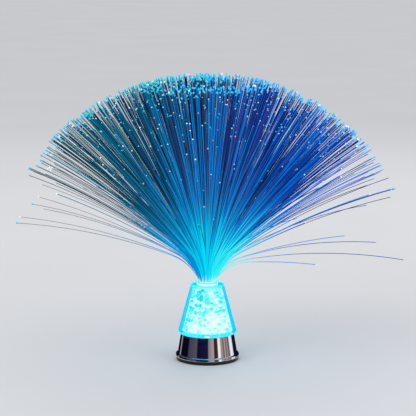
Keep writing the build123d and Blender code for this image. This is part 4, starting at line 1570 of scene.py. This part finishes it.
    def fibre(self, lay: Lay, look: random.Random) -> Fibre:
        """Make one fibre, cut back until its end lies in the CAD model's box.

        Args:
            lay: How the fibre lies.
            look: The source of its colours.

        Returns:
            The fibre.
        """
        path = self.trace(lay)
        while not self.fits(path[-1]):
            lay = replace(lay, length=lay.length * self.cut_step)
            path = self.trace(lay)
        across = lay.root_r * math.cos(lay.azimuth) / (self.rings * self.pitch)
        # A random tone, and a random share of painted shade
        tone, painted_shade_depth = look.random(), look.random()
        middle, slope, scatter = self.glare
        glare = middle + slope * across + look.uniform(-scatter, scatter)
        loose = lay.lean > self.brow_lean[1] and across < 0 and look.random() < self.bare_chance
        # Ends leaning towards the front get the painted white glint more often
        ahead = lay.lean > self.crown_ring[0] + self.front[0] and math.sin(lay.azimuth) < self.front[1]
        seen, size = self.painted_glint_front_end if ahead else self.far_end
        if lay.length < self.short_below * self.length:
            seen, size = self.short_end
        white = self.white_least + (1 - self.white_least) * tone if look.random() < seen else 0.0
        numbers = {
            "tone": tone,
            "painted_shade_depth": painted_shade_depth,
            "glare": glare,
            "bare": self.bare_share * loose,
            "white": white,
            "size": size * look.uniform(*self.bead_spread),
        }
        return Fibre([p * MM for p in path], numbers)

    def extra_leans(self, chance: random.Random) -> list[float]:
        """Leans of the fibres between the rings: a thick crown ring, a full brow and a few between.

        Args:
            chance: The source of scatter.

        Returns:
            The leans in degrees, from the axis outwards.
        """
        crown, brow = (round(self.extra * share) for share in self.extra_shares)
        leans = [chance.gauss(*self.crown_ring) for _ in range(crown)]
        low, high = self.crown_ring[0] + self.crown_gap, self.brow_lean[0] + self.brow_top
        for _ in range(brow):
            if chance.random() < self.thin_brow:
                leans.append(chance.uniform(high, self.skirt_lean[0] + self.thin_top))
            else:
                leans.append(high - (high - low) * chance.random() ** self.brow_crowding)
        rest = self.extra - crown - brow
        leans += [chance.uniform(self.least_lean, self.crown_ring[0]) for _ in range(rest)]
        return sorted(leans)

    def fibres(self) -> list[Fibre]:
        """Make every fibre: the rings that the CAD solid has, and finer ones between them.

        Returns:
            The fibres in order of their roots' radius, and then the strands that stand out.
        """
        chance, look = random.Random(self.seed), random.Random(self.seed + 1)
        made = [(0.0, self.fibre(Lay(0, 0, self.least_lean, 0, self.length), look))]
        for ring in range(1, self.rings + 1):
            count = self.first_ring * ring
            start = chance.uniform(0, 2 * math.pi)
            for i in range(count):
                azimuth = start + 2 * math.pi * i / count
                lean = self.ring_lean(ring, azimuth, chance)
                length = self.cut_length(chance)
                lay = Lay(ring * self.pitch, azimuth, lean, look.gauss(0, self.drifts[0]), length)
                made.append((lay.root_r, self.fibre(lay, look)))
        for i, lean in enumerate(self.extra_leans(chance)):
            root_r = self.rings * self.pitch * self.extra_reach * math.sqrt((i + 0.5) / self.extra)
            azimuth = i * GOLDEN_TURN
            if lean > self.crown_ring[0] + self.crown_gap:
                azimuth -= self.side_pull * math.sin(2 * azimuth) / 2
                lean *= 1 - self.extra_squeeze * math.sin(azimuth) ** 2 * chance.random()
                lean += self.right_reach * math.cos(azimuth)
            lay = Lay(root_r, azimuth, lean, chance.gauss(0, self.drifts[1]), self.cut_length(chance))
            made.append((root_r, self.fibre(lay, look)))
        made.sort(key=lambda pair: pair[0])
        bundle = [fibre for _, fibre in made]
        for strand in self.strands:
            bundle += self.strand(strand, look)
        return bundle

    def tubes(self, name: str, fibres: Sequence[Fibre], tree: RepeatTree) -> Piece:
        """Sweep one group of fibres.

        Args:
            name: The piece's name.
            fibres: The group.
            tree: The sweeping tree.

        Returns:
            One object with the group's tubes.
        """
        points, edges = [], []
        values: dict[str, list[float]] = {"along": [], "girth": []}
        for fibre in fibres:
            first, last = len(points), len(fibre.path) - 1
            points += fibre.path
            edges += [(first + i, first + i + 1) for i in range(last)]
            along = [(max(0, i - 1) / self.steps) ** self.crowding for i in range(last + 1)]
            values["along"] += along
            grown = [min(1.0, share * self.length / self.girth_arc) for share in along]
            values["girth"] += [self.root_girth + (1 - self.root_girth) * share for share in grown]
            for label, number in fibre.numbers.items():
                values.setdefault(label, []).extend([number] * (last + 1))
        source = point_mesh(name + "_paths", points, edges, **values)
        sizes = {"Tube radius": self.fibre_r * MM, "Sides": self.fibre_sides, "Material": FIBRE.material()}
        return tree.bake(name, source, sizes)

    def beads(self, fibres: Sequence[Fibre]) -> Piece:
        """Build the glowing cut ends.

        Args:
            fibres: All fibres.

        Returns:
            One object with every end.
        """
        values = {label: [fibre.numbers[label] for fibre in fibres] for label in fibres[0].numbers}
        ends = point_mesh("fibre_ends", [fibre.path[-1] for fibre in fibres], **values)
        sizes = {"Bead radius": self.bead_r * MM, "Material": FIBRE_TIP.material()}
        return bead_tree().bake("fibre_tips_lit", ends, sizes)

    def ferrule(self) -> Piece:
        """Build the flanged sleeve, with eased edges.

        Returns:
            The ferrule.
        """
        low, seat = self.mouth - self.ferrule_length, self.mouth - self.ferrule_flange_t
        brow = (self.ferrule_flange_r - self.ferrule_ease, self.mouth - self.ferrule_ease)
        profile = [
            (self.ferrule_r_in, low),
            (self.ferrule_r - self.ferrule_chamfer, low),
            (self.ferrule_r, low + self.ferrule_lead),
            (self.ferrule_r, seat),
            (self.ferrule_flange_r, seat),
            *arc(brow, self.ferrule_ease, 0, 90, 5),
            (self.ferrule_r_in + self.ferrule_chamfer, self.mouth),
            (self.ferrule_r_in, self.mouth - self.ferrule_chamfer),
        ]
        return lathe("bundle_ferrule_clear", profile)

    def rod(self) -> Piece:
        """Build the fibres' ends potted in resin, with a domed top between the roots.

        Returns:
            The rod.
        """
        low, high = self.mouth - self.potted_length, self.mouth
        inset, drop = self.dome
        profile = [
            (0, low),
            (self.potted_r - self.potted_ease, low),
            (self.potted_r, low + self.potted_ease),
            (self.potted_r, high - inset),
            (self.potted_r - inset, high - drop),
            (0, high),
        ]
        return lathe("potted_rod_resin", profile, 96)

    def make(self) -> None:
        """Build and dress the head."""
        fibres = self.fibres()
        sweep = sweep_tree()
        share = math.ceil(len(fibres) / len(self.groups))
        for i, group in enumerate(self.groups):
            piece = self.tubes("fibres_" + group, fibres[i * share : (i + 1) * share], sweep)
            dress(piece, Body.HEAD, "optical_fibre", FIBRE, "fibre_spray")
        dress(self.beads(fibres), Body.HEAD, "optical_fibre", FIBRE_TIP)
        dress(self.ferrule(), Body.HEAD, "clear_acrylic", TINTED, "bundle_ferrule")
        dress(self.rod(), Body.HEAD, "potting_resin", RESIN, "potted_bundle")


@dataclass
class Works:
    """The CAD pieces whose shapes stay: they only get their finishes."""

    turned_cell: str = "battery_cell_2"

    def make(self) -> None:
        """Dress every CAD node by its slot, and the cell that lies the other way by its name."""
        slots = {part["node"]: part["material_slot"] for part in frame["record"]["subparts"]}
        for name, piece in frame["nodes"].items():
            finish = JACKETS[1] if name == self.turned_cell else SLOT_FINISHES[slots[name]]
            piece.data.materials.clear()
            piece.data.materials.append(finish.material())
            log.info("%s: %s", name, finish.name)


# studio


@dataclass(frozen=True)
class SoftLamp:
    """A soft square studio lamp. Sizes in metres, power in watts."""

    name: str
    place: Triple
    size: float
    watts: float


@dataclass
class Studio:
    """A pale floor, soft lamps and the camera. Sizes in metres."""

    floor_r: float = 14.0
    floor_sides: int = 96
    cloud_mm: float = 1000 / 3
    pale: str = "#DADCE0"
    paler: str = "#DEE0E3"
    # Near the lamp its chrome mirrors the floor. Further out a mirror ray goes through to the bands
    mirror_r: float = 0.045
    distance: float = 1.9
    camera_side: float = 0.0007
    camera_height: float = 0.467
    aim: float = 0.1717
    frame_width: float = 0.4633
    sensor_mm: float = 36.0
    far_clip: float = 60.0
    world_light: float = 0.8
    lamp_aim: Triple = (0, 0, 0.12)
    lamps: tuple[SoftLamp, ...] = (
        SoftLamp("key", (-1.1, -1.2, 1.5), 1.1, 8),
        SoftLamp("fill", (1.4, -0.9, 1.1), 1.2, 4),
        SoftLamp("back", (0.3, 1.5, 1.4), 1.0, 4),
    )
    # Reflected bands round the horizon, in degrees from the front towards +X, and their grey
    bands: Stops = (
        (-180, "#0C0D20"), (-137, "#0A0A1C"), (-134, "#9A949A"), (-127, "#9A949A"),
        (-124, "#0A0A20"), (-84, "#07061A"), (-79, "#46444F"), (-44, "#5A5562"),
        (-40, "#0E1030"), (2, "#191A38"), (5, "#8E868C"), (25, "#B4ACA8"),
        (28, "#36222A"), (42, "#4E2C24"), (44, "#FFFFFF"), (53, "#FFFFFF"),
        (56, "#8A8486"), (61, "#B4A8A2"), (65, "#B47840"), (70, "#6A4A40"),
        (74, "#C4BCB8"), (81, "#584A4C"), (87, "#B0A8AA"), (95, "#2A2430"),
        (100, "#A8A6AC"), (104, "#FFFFFF"), (120, "#F4F6F8"), (124, "#141830"),
        (180, "#0C0D20"),
    )

    def floor(self) -> None:
        """Lay a pale round floor that shows only from above."""
        shape = bmesh.new()
        bmesh.ops.create_circle(shape, cap_ends=True, segments=self.floor_sides, radius=self.floor_r)
        mesh = bpy.data.meshes.new("floor")
        shape.to_mesh(mesh)
        shape.free()
        # A matt roller coat with faint clouds in it
        material = bpy.data.materials.new("painted board")
        material.use_nodes = True
        tree = material.node_tree
        tree.nodes.clear()
        place = add_node(tree, "ShaderNodeTexCoord", out="Object")
        cloud = {"Vector": place, "Scale": per_mm(self.cloud_mm)}
        cloud = {"Fac": add_node(tree, "ShaderNodeTexNoise", cloud)}
        colour = add_node(tree, "ShaderNodeValToRGB", cloud, stops=((0.2, self.pale), (0.8, self.paler)))
        away = add_node(tree, "ShaderNodeVectorMath", (place,), "Value", operation="LENGTH")
        past = (
            add_node(tree, "ShaderNodeMath", (away, self.mirror_r), operation="GREATER_THAN"),
            add_node(tree, "ShaderNodeLightPath", out="Is Glossy Ray"),
        )
        clear = (
            add_node(tree, "ShaderNodeNewGeometry", out="Backfacing"),
            add_node(tree, "ShaderNodeMath", past, operation="MULTIPLY"),
        )
        both = (
            add_node(tree, "ShaderNodeMath", clear, operation="MAXIMUM"),
            add_node(tree, "ShaderNodeBsdfDiffuse", (colour,)),
            add_node(tree, "ShaderNodeBsdfTransparent"),
        )
        add_node(tree, "ShaderNodeOutputMaterial", {"Surface": add_node(tree, "ShaderNodeMixShader", both)})
        mesh.materials.append(material)
        link_object("floor", mesh)

    def world(self) -> None:
        """Make it pale all round, with the dark and bright bands of a room for mirrors to show."""
        world = bpy.data.worlds.new("studio")
        bpy.context.scene.world = world
        world.use_nodes = True
        tree = world.node_tree
        tree.nodes.clear()
        ray = add_node(tree, "ShaderNodeLightPath").node.outputs
        way = add_node(tree, "ShaderNodeTexCoord", out="Generated")
        across, deep, _ = add_node(tree, "ShaderNodeSeparateXYZ", (way,)).node.outputs
        back = add_node(tree, "ShaderNodeMath", (deep, -1.0), operation="MULTIPLY")
        turn = add_node(tree, "ShaderNodeMath", (across, back), operation="ARCTAN2")
        share = add_node(tree, "ShaderNodeMapRange", (turn, -math.pi, math.pi))
        stops = [((angle + 180) / 360, code) for angle, code in self.bands]
        panels = add_node(tree, "ShaderNodeValToRGB", {"Fac": share}, stops=stops)
        light = (
            ray["Is Glossy Ray"],
            add_node(tree, "ShaderNodeBackground", (linear("#FFFFFF"), self.world_light)),
            add_node(tree, "ShaderNodeBackground", (panels,)),
        )
        seen = (ray["Is Camera Ray"], ray["Is Transmission Ray"])
        both = (
            add_node(tree, "ShaderNodeMath", seen, operation="MAXIMUM"),
            add_node(tree, "ShaderNodeMixShader", light),
            add_node(tree, "ShaderNodeBackground", (linear(self.pale),)),
        )
        add_node(tree, "ShaderNodeOutputWorld", {"Surface": add_node(tree, "ShaderNodeMixShader", both)})

    def hang(self, lamp: SoftLamp) -> None:
        """Hang a lamp and turn it to the night light. Mirrors don't show it.

        Args:
            lamp: The lamp.
        """
        data = bpy.data.lights.new(lamp.name, "AREA")
        data.shape = "SQUARE"
        data.size = lamp.size
        data.energy = lamp.watts
        made = link_object(lamp.name, data)
        made.location = lamp.place
        made.rotation_euler = (Vector(self.lamp_aim) - Vector(lamp.place)).to_track_quat("-Z", "Y").to_euler()
        made.visible_glossy = False

    def camera(self) -> None:
        """Set up a long lens at the height the photograph was taken from."""
        data = bpy.data.cameras.new("camera")
        place = Vector((self.camera_side, -self.distance, self.camera_height))
        target = Vector((self.camera_side, 0, self.aim))
        data.sensor_width = self.sensor_mm
        data.lens = self.sensor_mm * (target - place).length / self.frame_width
        data.clip_end = self.far_clip
        made = link_object("camera", data)
        made.location = place
        made.rotation_euler = (target - place).to_track_quat("-Z", "Y").to_euler()
        bpy.context.scene.camera = made

    def make(self) -> None:
        """Set up everything around the night light."""
        bpy.context.scene.view_settings.view_transform = "Standard"
        self.floor()
        self.world()
        for lamp in self.lamps:
            self.hang(lamp)
        self.camera()


def main() -> None:
    """Build the night light and its studio."""
    logging.basicConfig(level=logging.INFO, format="%(name)s %(message)s")
    for part in (Works(), BaseUnit(), CrystalCone(), FibreHead(), Studio()):
        part.make()


if __name__ == "__main__":
    main()
